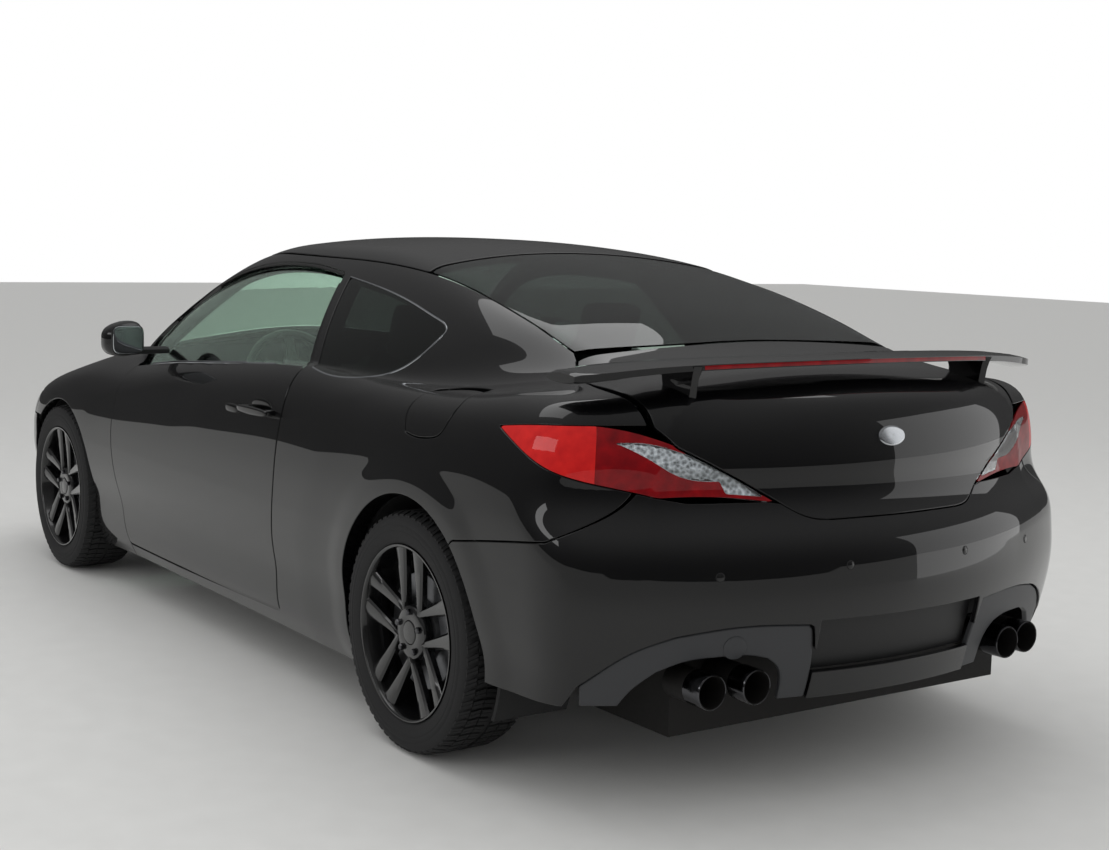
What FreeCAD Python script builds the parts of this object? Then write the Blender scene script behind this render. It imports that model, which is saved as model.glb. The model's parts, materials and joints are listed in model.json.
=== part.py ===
import FreeCAD, Part
import math
import os
import Sketcher

from FreeCAD import Placement, Rotation, Vector

os.makedirs("parts", exist_ok=True)
doc = FreeCAD.newDocument("coupe")

# Driving dimensions in millimetres and degrees, kept in one sheet
SIZES = [
    ("wheelbase", 2820),
    ("front_overhang", 815),
    ("rear_overhang", 975),
    ("body_width", 1864),
    ("body_height", 1385),
    ("front_track", 1603),
    ("rear_track", 1618),
    ("tyre_radius", 332),
    ("tyre_width", 225),
    ("rim_radius", 241),
    ("rim_width", 216),
    ("hub_bore_radius", 32),
    ("spindle_clearance", 0.08),
    ("front_arch_gap", 28),
    ("front_arch_drop", 3),
    ("front_house_gap", 45),
    ("rear_arch_gap", 50),
    ("rear_arch_rise", -3),
    ("wheel_house_thickness", 12),
    ("seat_gap", 0.4),
    ("door_gap", 5.5),
    ("lid_gap", 5.5),
    ("panel_gap", 3),
    ("door_thickness", 75),
    ("wall_thickness", 60),
    ("skin_thickness", 14),
    ("lid_thickness", 22),
    ("roof_thickness", 30),
    ("glass_thickness", 5),
    ("glass_inset", 3),
    ("side_glass_inset", 14),
    ("sill_inner_half", 775),
    ("floor_bottom", 172),
    ("floor_thickness", 26),
    ("tunnel_half_width", 130),
    ("tunnel_height", 225),
    ("steel_thickness", 25),
    ("boot_floor_height", 400),
    ("kingpin_radius", 13),
    ("kingpin_inset", 72),
    ("brake_disc_radius", 160),
    ("brake_disc_thickness", 26),
    ("seat_width", 470),
    ("seat_offset", 372),
    ("steering_wheel_radius", 188),
    ("steering_rim_radius", 15),
    ("exhaust_tip_radius", 43),
    ("exhaust_tip_wall", 3),
    ("exhaust_pipe_radius", 28),
    ("spoiler_half_span", 815),
    ("spoiler_thickness", 24),
    ("spoke_thickness", 24),
    ("engine_length", 620),
    ("engine_width", 540),
    ("engine_height", 480),
    ("engine_front_of_axle", 210),
    ("mirror_length", 115),
    ("mirror_width", 140),
    ("mirror_height", 125),
    ("hinge_arm_thickness", 12),
    ("plate_recess_depth", 30),
    ("jack_pad_radius", 30),
    ("jack_pad_height", 18),
]
sheet = doc.addObject("Spreadsheet::Sheet", "sizes")
for row, (name, value) in enumerate(SIZES, start=1):
    sheet.set("A%d" % row, name)
    sheet.set("B%d" % row, str(value))
    sheet.setAlias("B%d" % row, name)
doc.recompute()


def size(name):
    return float(sheet.get(name))


# Stations of the body: the shape is drawn once and stretched between the axles and the ends
LENGTH = size("wheelbase") + size("front_overhang") + size("rear_overhang")
REAR_END = -LENGTH / 2
REAR_AXLE = REAR_END + size("rear_overhang")
FRONT_AXLE = REAR_AXLE + size("wheelbase")
FRONT_END = LENGTH / 2
DRAWN = [-2305.0, -1330.0, 1490.0, 2305.0]
BUILT = [REAR_END, REAR_AXLE, FRONT_AXLE, FRONT_END]
WIDE = size("body_width") / 1864.0
TALL = size("body_height") / 1385.0


def stretch(value, source, target):
    i = 0
    while i < len(source) - 2 and value > source[i + 1]:
        i += 1
    share = (value - source[i]) / (source[i + 1] - source[i])
    return target[i] + share * (target[i + 1] - target[i])


def px(x):
    return stretch(x, DRAWN, BUILT)


def py(y):
    return y * WIDE


def pz(z):
    return z * TALL


# A smooth curve through named points, straight beyond its ends
class Curve:
    def __init__(self, points):
        pts = sorted(points)
        self.a = [p[0] for p in pts]
        self.b = [p[1] for p in pts]
        n = len(pts)
        lower = [0.0] * n
        diag = [1.0] * n
        upper = [0.0] * n
        right = [0.0] * n
        for i in range(1, n - 1):
            before = self.a[i] - self.a[i - 1]
            after = self.a[i + 1] - self.a[i]
            lower[i] = before
            diag[i] = 2 * (before + after)
            upper[i] = after
            rise = (self.b[i + 1] - self.b[i]) / after
            fall = (self.b[i] - self.b[i - 1]) / before
            right[i] = 6 * (rise - fall)
        for i in range(1, n):
            ratio = lower[i] / diag[i - 1]
            diag[i] -= ratio * upper[i - 1]
            right[i] -= ratio * right[i - 1]
        self.m = [0.0] * n
        self.m[n - 1] = right[n - 1] / diag[n - 1]
        for i in range(n - 2, -1, -1):
            self.m[i] = (right[i] - upper[i] * self.m[i + 1]) / diag[i]

    def slope(self, i, at_end):
        step = self.a[i + 1] - self.a[i]
        base = (self.b[i + 1] - self.b[i]) / step
        if at_end:
            return base + step * (self.m[i] + 2 * self.m[i + 1]) / 6
        return base - step * (2 * self.m[i] + self.m[i + 1]) / 6

    def __call__(self, x):
        n = len(self.a)
        if x <= self.a[0]:
            return self.b[0] + (x - self.a[0]) * self.slope(0, False)
        if x >= self.a[-1]:
            return self.b[-1] + (x - self.a[-1]) * self.slope(n - 2, True)
        i = 0
        while x > self.a[i + 1]:
            i += 1
        step = self.a[i + 1] - self.a[i]
        p = (self.a[i + 1] - x) / step
        q = 1 - p
        bend = (p ** 3 - p) * self.m[i] + (q ** 3 - q) * self.m[i + 1]
        return p * self.b[i] + q * self.b[i + 1] + bend * step * step / 6


# Plan half width, window sill height, section, deck, roof line and both ends of the body
PLAN = Curve([(-2305, 875), (-2000, 905), (-1700, 930), (-1330, 932), (-900, 918), (-300, 905),
              (600, 903), (1100, 909), (1490, 915), (1900, 905), (2305, 885)])
BELT = Curve([(-2200, 1012), (-1700, 1006), (-1253, 990), (-875, 978), (-501, 985), (-47, 957), (546, 912),
              (887, 872), (1319, 850), (1700, 800), (2305, 690)])
WIDEST = 560.0
UPPER = Curve([(0, 0), (0.3, 4), (0.55, 16), (0.75, 34), (0.9, 60), (1.0, 92), (1.15, 150)])
LOWER = Curve([(0, 0), (130, 10), (210, 26), (300, 34), (350, 46), (420, 80)])
DECK = Curve([(-2305, 1040), (-2080, 1046), (-1900, 1066), (-1700, 1068), (-1500, 1040), (-1300, 1012),
              (-1000, 990), (-501, 992), (-47, 964), (546, 922), (887, 925), (1100, 950), (1319, 925),
              (1500, 888), (1700, 842), (1900, 786), (2080, 722), (2305, 630)])
CROWN = Curve([(-2305, 22), (-1900, 30), (-1600, 30), (-1200, 12), (-800, 0), (500, 0), (900, 16),
               (1200, 31), (2305, 31)])
ROOF = Curve([(-2100, 985), (-1850, 1050), (-1720, 1100), (-1600, 1150), (-1350, 1228), (-1100, 1292),
              (-850, 1341), (-650, 1366), (-450, 1381), (-250, 1385), (0, 1384), (150, 1378),
              (300, 1362), (450, 1330), (600, 1275), (750, 1207), (900, 1130), (1050, 1048), (1200, 960)])
CABIN = Curve([(-2000, 560), (-1800, 600), (-1600, 655), (-1350, 726), (-1000, 775), (-600, 798),
               (-200, 804), (300, 800), (700, 778), (900, 758), (1150, 700)])
TAIL = Curve([(150, -2180), (250, -2240), (330, -2266), (450, -2295), (540, -2305), (620, -2299),
              (700, -2274), (735, -2244), (765, -2224), (850, -2212), (950, -2196), (1040, -2168)])
NOSE = Curve([(150, 2215), (250, 2275), (350, 2298), (450, 2305), (560, 2292), (650, 2258),
              (720, 2205), (800, 2110)])
BLEND = Curve([(-2100, 150), (-1500, 150), (-1100, 70), (-800, 24), (900, 22), (1100, 60), (1300, 60)])


def smooth_max(a, b, reach):
    share = max(reach - abs(a - b), 0.0) / reach
    return max(a, b) + share ** 3 * reach / 6


def field(bx, by, bz):
    x = stretch(bx, BUILT, DRAWN)
    y = abs(by) / WIDE
    z = bz / TALL
    sill = BELT(x)
    if z > WIDEST:
        inset = UPPER((z - WIDEST) / (sill - WIDEST))
    else:
        inset = LOWER(WIDEST - z)
    side = y - PLAN(x) + inset
    top = z - DECK(x) + CROWN(x) * (y / 600.0) ** 2
    rear = TAIL(z) + 104.0 * (y / 549.0) ** 2 - x
    front = x - NOSE(z) + 175.0 * (y / 700.0) ** 2.2
    tub = smooth_max(side, top, 70.0)
    tub = smooth_max(tub, rear, 130.0 if x < 0 else 1.0)
    tub = smooth_max(tub, front, 320.0 if x > 0 else 1.0)
    rise = z - 960.0
    cabin_side = y - CABIN(x) + 0.4 * rise + 0.00075 * rise * rise
    station = x + 110.0 * (y / 600.0) ** 2 if x > 0 else x
    if 0 < x < 300:
        station = x + 110.0 * (y / 600.0) ** 2 * x / 300.0
    roof = z - ROOF(station) + 45.0 * (y / 580.0) ** 2
    cabin = smooth_max(cabin_side, roof, 75.0)
    cabin = max(cabin, -2000.0 - x, x - 1500.0)
    return -smooth_max(-tub, -cabin, BLEND(x))


# The point of a ray where the body surface, or a layer inside it, is reached
def reach_surface(origin, direction, depth, near, far):
    low = near
    high = far
    f_low = field(*(origin + direction * low)) + depth
    f_high = field(*(origin + direction * high)) + depth
    for step in range(40):
        if abs(f_high - f_low) < 1e-9:
            break
        mid = low - f_low * (high - low) / (f_high - f_low)
        if step % 3 == 2 or not low < mid < high:
            mid = (low + high) / 2
        f_mid = field(*(origin + direction * mid)) + depth
        if abs(f_mid) < 0.003:
            low = mid
            break
        if f_mid > 0:
            high = mid
            f_high = f_mid
        else:
            low = mid
            f_low = f_mid
    return origin + direction * low


FAN_LOW = Curve([(-2125, 20), (-1600, 8), (-1450, 0), (-1150, -28), (-950, -35), (0, -35), (1960, -35)])
FAN_HIGH = Curve([(-2125, 60), (-1900, 65), (-1700, 72), (-1500, 76), (-1300, 76), (1960, 76)])


# Ray families: a fan round a line along the car, upright rays, a fan round an upright line, a fan
# round a cross line and a fan round a point
def side_ray(x, share):
    a = math.radians(FAN_LOW(x) + share * (FAN_HIGH(x) - FAN_LOW(x)))
    return Vector(px(x), py(300), pz(500)), Vector(0, math.cos(a), math.sin(a)), 100, 1100


def top_ray(x, y):
    return Vector(px(x), py(y), pz(560)), Vector(0, 0, 1), 0, 1000


def tail_ray(angle, z):
    a = math.radians(angle)
    return Vector(px(-1330), 0, pz(z)), Vector(-math.cos(a), math.sin(a), 0), 300, 1500


def nose_ray(angle, z):
    a = math.radians(angle)
    return Vector(px(1400), 0, pz(z)), Vector(math.cos(a), math.sin(a), 0), 300, 1500


def lid_ray(angle, y):
    a = math.radians(angle)
    return Vector(px(-1750), py(y), pz(700)), Vector(-math.sin(a), 0, math.cos(a)), 60, 900


def tail_corner_ray(turn, lift):
    a = math.radians(turn)
    b = math.radians(lift)
    aim = Vector(-math.cos(a) * math.cos(b), math.sin(a) * math.cos(b), math.sin(b))
    return Vector(px(-1500), py(200), pz(620)), aim, 60, 1500


def nose_corner_ray(turn, lift):
    a = math.radians(turn)
    b = math.radians(lift)
    aim = Vector(math.cos(a) * math.cos(b), math.sin(a) * math.cos(b), math.sin(b))
    return Vector(px(1450), py(250), pz(420)), aim, 60, 1500


def spread(first, last, count):
    return [first + (last - first) * i / (count - 1) for i in range(count)]


def patch(ray, us, vs, depth):
    rows = []
    for u in us:
        row = []
        for v in vs:
            origin, direction, near, far = ray(u, v)
            row.append(reach_surface(origin, direction, depth, near, far))
        rows.append(row)
    surface = Part.BSplineSurface()
    surface.interpolate(rows)
    return surface


# A closed slab between two layers of the body surface
def slab(ray, us, vs, outer_depth, inner_depth):
    outer = patch(ray, us, vs, outer_depth)
    inner = patch(ray, us, vs, inner_depth)
    faces = [outer.toShape(), inner.toShape()]
    u0, u1, v0, v1 = outer.bounds()
    for fixed in (u0, u1):
        faces.append(Part.makeRuledSurface(outer.uIso(fixed).toShape(), inner.uIso(fixed).toShape()))
    for fixed in (v0, v1):
        faces.append(Part.makeRuledSurface(outer.vIso(fixed).toShape(), inner.vIso(fixed).toShape()))
    shell = Part.Shell(faces)
    shell.sewShape()
    solid = Part.Solid(shell.Shells[0] if shell.ShapeType != "Shell" else shell)
    if solid.Volume < 0:
        solid.reverse()
    return solid


# A closed outline from runs of points: two points make a line, more make a smooth curve
def outline(runs, plane, start):
    edges = []
    for run in runs:
        pts = [plane(a, b, start) for a, b in run]
        if len(pts) == 2:
            edges.append(Part.LineSegment(pts[0], pts[1]).toShape())
        else:
            curve = Part.BSplineCurve()
            curve.interpolate(pts)
            edges.append(curve.toShape())
    return Part.Face(Part.Wire(edges))


# The same outline moved outwards by a distance, corners kept sharp
def grown(runs, distance):
    if not distance:
        return runs
    area = 0.0
    for run in runs:
        for p, q in zip(run[:-1], run[1:]):
            area += p[0] * q[1] - q[0] * p[1]
    turn = distance if area > 0 else -distance
    normals = []
    for run in runs:
        chords = []
        for p, q in zip(run[:-1], run[1:]):
            length = math.hypot(q[0] - p[0], q[1] - p[1])
            chords.append(((q[0] - p[0]) / length, (q[1] - p[1]) / length, length))
        row = []
        for i in range(len(run)):
            if i == 0:
                ux, uy = chords[0][:2]
                if len(chords) > 1:
                    ux = ux + 0.5 * (ux - chords[1][0])
                    uy = uy + 0.5 * (uy - chords[1][1])
            elif i == len(run) - 1:
                ux, uy = chords[-1][:2]
                if len(chords) > 1:
                    ux = ux + 0.5 * (ux - chords[-2][0])
                    uy = uy + 0.5 * (uy - chords[-2][1])
            else:
                before, after = chords[i - 1], chords[i]
                ux = before[0] * after[2] + after[0] * before[2]
                uy = before[1] * after[2] + after[1] * before[2]
            length = math.hypot(ux, uy)
            row.append((uy / length, -ux / length))
        normals.append(row)
    moved = []
    for k, run in enumerate(runs):
        row = []
        for i, (a, b) in enumerate(run):
            n = normals[k][i]
            other = n
            if i == 0:
                other = normals[k - 1][-1]
            if i == len(run) - 1:
                other = normals[(k + 1) % len(runs)][0]
            share = turn / (1 + n[0] * other[0] + n[1] * other[1])
            row.append((a + (n[0] + other[0]) * share, b + (n[1] + other[1]) * share))
        moved.append(row)
    return moved


def side_plane(a, b, c):
    return Vector(px(a), c, pz(b))


def top_plane(a, b, c):
    return Vector(px(a), py(b), c)


def rear_plane(a, b, c):
    return Vector(c, py(a), pz(b))


def side_cutter(runs, y0, y1, grow=0):
    face = outline(grown(runs, grow), side_plane, y0)
    return face.extrude(Vector(0, y1 - y0, 0))


def top_cutter(runs, z0, z1, grow=0):
    face = outline(grown(runs, grow), top_plane, z0)
    return face.extrude(Vector(0, 0, z1 - z0))


def rear_cutter(runs, x0, x1, grow=0):
    face = outline(grown(runs, grow), rear_plane, x0)
    return face.extrude(Vector(x1 - x0, 0, 0))


def circle_cutter(x, z, radius, y0, y1):
    return Part.makeCylinder(radius, y1 - y0, Vector(x, y0, z), Vector(0, 1, 0))


def box(x0, x1, y0, y1, z0, z1):
    return Part.makeBox(x1 - x0, y1 - y0, z1 - z0, Vector(x0, y0, z0))


def mirrored(shape):
    return shape.mirror(Vector(0, 0, 0), Vector(0, 1, 0))


# Outlines of the panels, drawn on the side, from above and from behind
DOOR_FRONT = [(887, 872), (922, 739), (912, 551), (872, 377), (852, 254), (838, 205)]
DOOR_SILL = [(838, 205), (400, 199), (-455, 214)]
DOOR_REAR = [(-455, 214), (-470, 400), (-490, 600), (-498, 760), (-505, 900), (-510, 986)]
DOOR_BELT = [(-510, 986), (-300, 976), (-47, 958), (250, 936), (546, 912), (760, 888), (887, 872)]
WINDOW_REAR = [(-510, 986), (-455, 1120), (-385, 1264)]
WINDOW_TOP = [(-385, 1264), (-200, 1281), (-29, 1285), (183, 1273), (388, 1232), (516, 1184), (651, 1115),
              (790, 1000), (887, 872)]
QUARTER_FRONT = [(-560, 986), (-500, 1120), (-440, 1258)]
QUARTER_TOP = [(-440, 1258), (-708, 1228), (-912, 1193), (-1060, 1160), (-1112, 1142)]
QUARTER_TIP = [(-1112, 1142), (-1122, 1132), (-1118, 1118)]
QUARTER_BELT = [(-1118, 1118), (-1072, 1062), (-985, 1008), (-870, 982), (-700, 974), (-560, 986)]
DOOR_RUNS = [DOOR_FRONT, DOOR_SILL, DOOR_REAR, DOOR_BELT]
DOOR_HOLE_RUNS = [DOOR_FRONT, DOOR_SILL, DOOR_REAR, WINDOW_REAR, WINDOW_TOP]
DOOR_GLASS_RUNS = [DOOR_BELT, WINDOW_TOP[::-1], WINDOW_REAR[::-1]]
QUARTER_RUNS = [QUARTER_FRONT, QUARTER_TOP, QUARTER_TIP, QUARTER_BELT]
FLAP_RUNS = [[(-1278, 980), (-1380, 992), (-1480, 996)], [(-1480, 996), (-1502, 970), (-1496, 935)],
             [(-1496, 935), (-1470, 890), (-1426, 876)], [(-1426, 876), (-1355, 870), (-1292, 876)],
             [(-1292, 876), (-1270, 920), (-1278, 980)]]
LEFT_FAR = py(1100)
REAR_X = "((sizes.rear_overhang - sizes.front_overhang - sizes.wheelbase) / 2)"
FRONT_X = "((sizes.rear_overhang - sizes.front_overhang + sizes.wheelbase) / 2)"
REAR_END_X = "(-(sizes.rear_overhang + sizes.front_overhang + sizes.wheelbase) / 2)"
FRONT_Y = "(sizes.front_track / 2)"
REAR_Y = "(sizes.rear_track / 2)"
PIN_Y = "(sizes.front_track / 2 - sizes.kingpin_inset)"
AXLE_Z = "sizes.tyre_radius"
DISC_IN = "(sizes.rim_width / 2 - 60 - sizes.brake_disc_thickness)"
AIM = {"x": Rotation(Vector(0, 1, 0), 90), "y": Rotation(Vector(1, 0, 0), -90), "z": Rotation()}


# The same places as formulas, for pieces whose sizes and places are bound to the sheet
def at_x(x):
    if x <= -1330:
        return "(%s + %s * sizes.rear_overhang / 975)" % (REAR_END_X, x + 2305)
    if x <= 1490:
        return "(%s + %s * sizes.wheelbase / 2820)" % (REAR_X, x + 1330)
    return "(%s + %s * sizes.front_overhang / 815)" % (FRONT_X, x - 1490)


def at_y(y):
    return "(%s * sizes.body_width / 1864)" % y


def at_z(z):
    return "(%s * sizes.body_height / 1385)" % z


def bound(item, **formulas):
    for key, formula in formulas.items():
        path = "Placement.Base." + key if key in ("x", "y", "z") else key
        item.setExpression(path, str(formula))
    return item


def block(label, x, y, z, length, width, height):
    item = doc.addObject("Part::Box", label)
    return bound(item, Length=length, Width=width, Height=height, x=x, y=y, z=z)


def round_bar(label, x, y, z, aim, radius, height):
    item = doc.addObject("Part::Cylinder", label)
    item.Placement = Placement(Vector(), AIM[aim])
    return bound(item, Radius=radius, Height=height, x=x, y=y, z=z)


def ball(label, x, y, z, radius):
    return bound(doc.addObject("Part::Sphere", label), Radius=radius, x=x, y=y, z=z)


def fused(label, items):
    item = doc.addObject("Part::MultiFuse", label)
    item.Shapes = items
    item.Refine = True
    return item


def cut_from(label, base, tool):
    item = doc.addObject("Part::Cut", label)
    item.Base = base
    item.Tool = tool
    return item


def other_side(label, source):
    item = doc.addObject("Part::Mirroring", label)
    item.Source = source
    item.Normal = Vector(0, 1, 0)
    return item


def both_sides(label, source):
    item = doc.addObject("Part::Compound", label)
    item.Links = [source, other_side(label + "_right_half", source)]
    return item


def shaped(label, shape):
    item = doc.addObject("Part::Feature", label)
    item.Shape = shape
    return item


FINAL = []


def keep(item, label):
    item.Label = label
    FINAL.append(item)
    return item


# A coordinate tied to a cell: a share of the named size plus an offset
def tied(name, offset=0.0, share=1.0):
    return share * size(name) + offset, "%s * sizes.%s + %s" % (share, name, offset)


def new_sketch(body, name, role, offset=0.0):
    sketch = body.newObject("Sketcher::SketchObject", name)
    plane = [item for item in body.Origin.OriginFeatures if item.Role == role][0]
    sketch.AttachmentSupport = [(plane, "")]
    sketch.MapMode = "FlatFace"
    sketch.AttachmentOffset = Placement(Vector(0, 0, offset), Rotation())
    return sketch


# A closed polygon in a sketch, each corner held by two distances from the origin
def draw(sketch, points):
    first = sketch.GeometryCount
    count = len(points)
    plain = [[c[0] if isinstance(c, tuple) else c for c in point] for point in points]
    for i in range(count):
        a = plain[i]
        b = plain[(i + 1) % count]
        sketch.addGeometry(Part.LineSegment(Vector(a[0], a[1], 0), Vector(b[0], b[1], 0)), False)
    for i in range(count):
        sketch.addConstraint(Sketcher.Constraint("Coincident", first + i, 2, first + (i + 1) % count, 1))
    for i in range(count):
        for kind, k in (("DistanceX", 0), ("DistanceY", 1)):
            if isinstance(points[i][k], tuple):
                row = sketch.addConstraint(Sketcher.Constraint(kind, -1, 1, first + i, 1, plain[i][k]))
                label = "corner_%d_%s" % (first + i, "xy"[k])
                sketch.renameConstraint(row, label)
                sketch.setExpression("Constraints." + label, points[i][k][1])


gap = size("panel_gap")
seat = size("seat_gap")
door_gap = size("door_gap")
lid_gap = size("lid_gap")
wall = size("wall_thickness")
skin = size("skin_thickness")
tyre_r = size("tyre_radius")
axle_z = tyre_r
rear_arch_r = tyre_r + size("rear_arch_gap")
rear_arch_z = axle_z + size("rear_arch_rise")
front_arch_r = tyre_r + size("front_arch_gap")
front_arch_z = axle_z - size("front_arch_drop")
front_house_r = tyre_r + size("front_house_gap")
arch_rear = circle_cutter(REAR_AXLE, rear_arch_z, rear_arch_r, 0, LEFT_FAR)
arch_front = circle_cutter(FRONT_AXLE, front_arch_z, front_arch_r, 0, LEFT_FAR)
high = pz(1500)

# Seams seen from above, from behind and from the side
GLASS_SIDE = [[(1150, 0), (1150, 500)], [(1150, 500), (1100, 600), (985, 690)],
              [(985, 690), (760, 640), (560, 588), (345, 548)], [(345, 548), (100, 560), (-300, 565), (-841, 565)],
              [(-841, 565), (-1200, 566), (-1600, 568)], [(-1600, 568), (-1680, 604)],
              [(-1680, 604), (-1760, 640), (-2140, 646)], [(-2140, 646), (-2500, 646)],
              [(-2500, 646), (-2500, 0)], [(-2500, 0), (1150, 0)]]
BUMPER_SIDE = [[(-1520, 80), (-1520, 560)], [(-1520, 560), (-1593, 632)],
               [(-1593, 632), (-1800, 664), (-2012, 693)], [(-2012, 693), (-2104, 779)],
               [(-2104, 779), (-2600, 779)], [(-2600, 779), (-2600, 80)], [(-2600, 80), (-1520, 80)]]
BUMPER_LIP = [[(-1600, 620), (-1600, 645)], [(-1600, 645), (-1800, 677), (-1990, 704)],
              [(-1990, 704), (-1990, 679)], [(-1990, 679), (-1800, 652), (-1600, 620)]]
LAMP_SIDE = [[(-2104, 779), (-1950, 845), (-1727, 939)], [(-1727, 939), (-1880, 956), (-2036, 962)],
             [(-2036, 962), (-2600, 962)], [(-2600, 962), (-2600, 779)], [(-2600, 779), (-2104, 779)]]
LAMP_REAR = [[(349, 774), (450, 832), (600, 913)], [(600, 913), (700, 948), (790, 962), (960, 965)],
             [(960, 965), (960, 779)], [(960, 779), (800, 779)], [(800, 779), (600, 793), (480, 790), (349, 774)]]
LID_REAR = [[(0, 733), (200, 733), (290, 742), (349, 774)], [(349, 774), (450, 832), (600, 913)],
            [(600, 913), (646, 960)], [(646, 960), (646, 1200)], [(646, 1200), (0, 1200)], [(0, 1200), (0, 733)]]
LID_TOP = [[(-1672, 0), (-1668, 300), (-1640, 585)], [(-1640, 585), (-1720, 630), (-1800, 646)],
           [(-1800, 646), (-2500, 646)], [(-2500, 646), (-2500, 0)], [(-2500, 0), (-1672, 0)]]
SHELF_REAR = [[(0, 733), (200, 733), (290, 742), (349, 774)],
              [(349, 774), (480, 790), (600, 793), (800, 779)], [(800, 779), (1000, 779)],
              [(1000, 779), (1000, 1200)], [(1000, 1200), (0, 1200)], [(0, 1200), (0, 733)]]
POD_REAR = [[(305, 482), (508, 486), (643, 466)], [(643, 466), (740, 425), (832, 341)], [(832, 341), (850, 285)],
            [(850, 285), (283, 285)], [(283, 285), (283, 355), (305, 482)]]
POD_OPENING = [[(750, 270), (723, 324), (673, 374)], [(673, 374), (617, 398), (531, 409)],
               [(531, 409), (450, 408), (410, 399)], [(410, 399), (375, 369), (362, 325)],
               [(362, 325), (358, 270)], [(358, 270), (750, 270)]]
PLATE_REAR = [[(0, 492), (285, 492)], [(285, 492), (285, 356)], [(285, 356), (0, 356)], [(0, 356), (0, 492)]]
WING_SIDE = [[(887, 872), (922, 739), (912, 551), (872, 377), (852, 254), (838, 205)], [(838, 205), (836, 80)],
             [(836, 80), (2000, 80)], [(2000, 80), (2000, 500)],
             [(2000, 500), (1840, 600), (1760, 720), (1690, 1000)], [(1690, 1000), (1010, 1000)],
             [(1010, 1000), (887, 872)]]
BONNET_TOP = [[(1190, 0), (1152, 420), (1035, 686)], [(1035, 686), (1300, 706), (1600, 706)],
              [(1600, 706), (1850, 690), (2000, 610)], [(2000, 610), (2100, 420), (2150, 0)],
              [(2150, 0), (1190, 0)]]
COWL_TOP = [[(1133, 0), (1093, 420), (988, 684)], [(988, 684), (1026, 688)],
            [(1026, 688), (1144, 420), (1182, 0)], [(1182, 0), (1133, 0)]]
COWL_LEDGE = [[(1115, 0), (1075, 420), (975, 660)], [(975, 660), (1015, 660)],
              [(1015, 660), (1130, 420), (1170, 0)], [(1170, 0), (1115, 0)]]
ROOF_TOP = [[(345, 0), (330, 300), (290, 548)], [(290, 548), (0, 561), (-300, 565), (-841, 565)],
            [(-841, 565), (-800, 300), (-790, 0)], [(-790, 0), (345, 0)]]
SCREEN_TOP = [[(1130, 0), (1090, 420), (985, 682)], [(985, 682), (760, 632), (560, 580), (296, 544)],
              [(296, 544), (336, 300), (351, 0)], [(351, 0), (1130, 0)]]
REAR_TOP = [[(-796, 0), (-806, 300), (-847, 560)], [(-847, 560), (-1200, 562), (-1598, 564)],
            [(-1598, 564), (-1645, 300), (-1655, 0)], [(-1655, 0), (-796, 0)]]
NOSE_SIDE = [[(1500, 80), (1500, 600)], [(1500, 600), (1840, 600)], [(1840, 600), (1800, 650), (1772, 700)],
             [(1772, 700), (2000, 668), (2150, 640)], [(2150, 640), (2180, 735)], [(2180, 735), (2600, 735)],
             [(2600, 735), (2600, 80)], [(2600, 80), (1500, 80)]]
MOUTH = [[(0, 430), (380, 430)], [(380, 430), (470, 350), (430, 230)], [(430, 230), (0, 230)],
         [(0, 230), (0, 430)]]
HEAD_SIDE = [[(1772, 700), (2000, 668), (2150, 640)], [(2150, 640), (2180, 735)],
             [(2180, 735), (1960, 800), (1690, 850)], [(1690, 850), (1772, 700)]]
SAIL_SIDE = [[(872, 879), (760, 893), (640, 904)], [(640, 904), (640, 960)], [(640, 960), (700, 1010)],
             [(700, 1010), (762, 1010)], [(762, 1010), (872, 879)]]
TIPS = [(-2204, 568, 334), (-2234, 453, 339)]


def mirrored_runs(half_runs, a_sign, b_sign):
    other = [[(a * a_sign, b * b_sign) for a, b in run[::-1]] for run in half_runs[:-1][::-1]]
    return half_runs[:-1] + other


def whole_top(half_runs, z0, z1, grow=0):
    return top_cutter(mirrored_runs(half_runs, 1, -1), z0, z1, grow)


def whole_rear(half_runs, x0, x1, grow=0):
    return rear_cutter(mirrored_runs(half_runs, -1, 1), x0, x1, grow)


# Side of the body: sill, pillars, roof rail and rear quarter in one piece
side_panel = slab(side_ray, spread(-2045, 1000, 34), spread(0, 1, 24), 0, wall)
body_side = side_panel.cut(top_cutter(GLASS_SIDE, 0, high, gap / 2))
body_side = body_side.cut(side_cutter(BUMPER_SIDE, 0, LEFT_FAR, gap / 2))
body_side = body_side.cut(side_cutter(LAMP_SIDE, 0, LEFT_FAR, gap / 2))
body_side = body_side.cut(arch_rear)
door_hole = side_cutter(DOOR_HOLE_RUNS, 0, LEFT_FAR, door_gap)
body_side = body_side.cut(door_hole)
body_side = body_side.cut(side_cutter(QUARTER_RUNS, 0, LEFT_FAR))
body_side = body_side.cut(box(-3000, 3000, 0, LEFT_FAR, -900, pz(150)))
body_side = body_side.cut(side_cutter(WING_SIDE, 0, LEFT_FAR, gap / 2))
lid_hole = whole_top(LID_TOP, pz(600), high, lid_gap)
lid_hole = lid_hole.common(whole_rear(LID_REAR, px(-2600), px(-1000), lid_gap))
body_side = body_side.cut(lid_hole)
sill_box = box(px(-950), px(830), size("sill_inner_half"), py(840), pz(155), pz(186))
sill_lip = slab(side_ray, spread(760, 900, 5), spread(0, 0.3, 6), skin + seat, wall)
sill_lip = sill_lip.common(box(px(800), px(856), 0, LEFT_FAR, pz(157), pz(188)))
bumper_room = slab(tail_ray, spread(-76, 76, 29), spread(215, 800, 13), -60, skin + seat)
bumper_lip = slab(tail_ray, spread(-76, 76, 29), spread(215, 800, 13), skin + seat, skin + 12)
bumper_lip = bumper_lip.common(side_cutter(BUMPER_LIP, 0, LEFT_FAR)).cut(arch_rear)
body_side = body_side.fuse([sill_box, sill_lip, bumper_lip])

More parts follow.
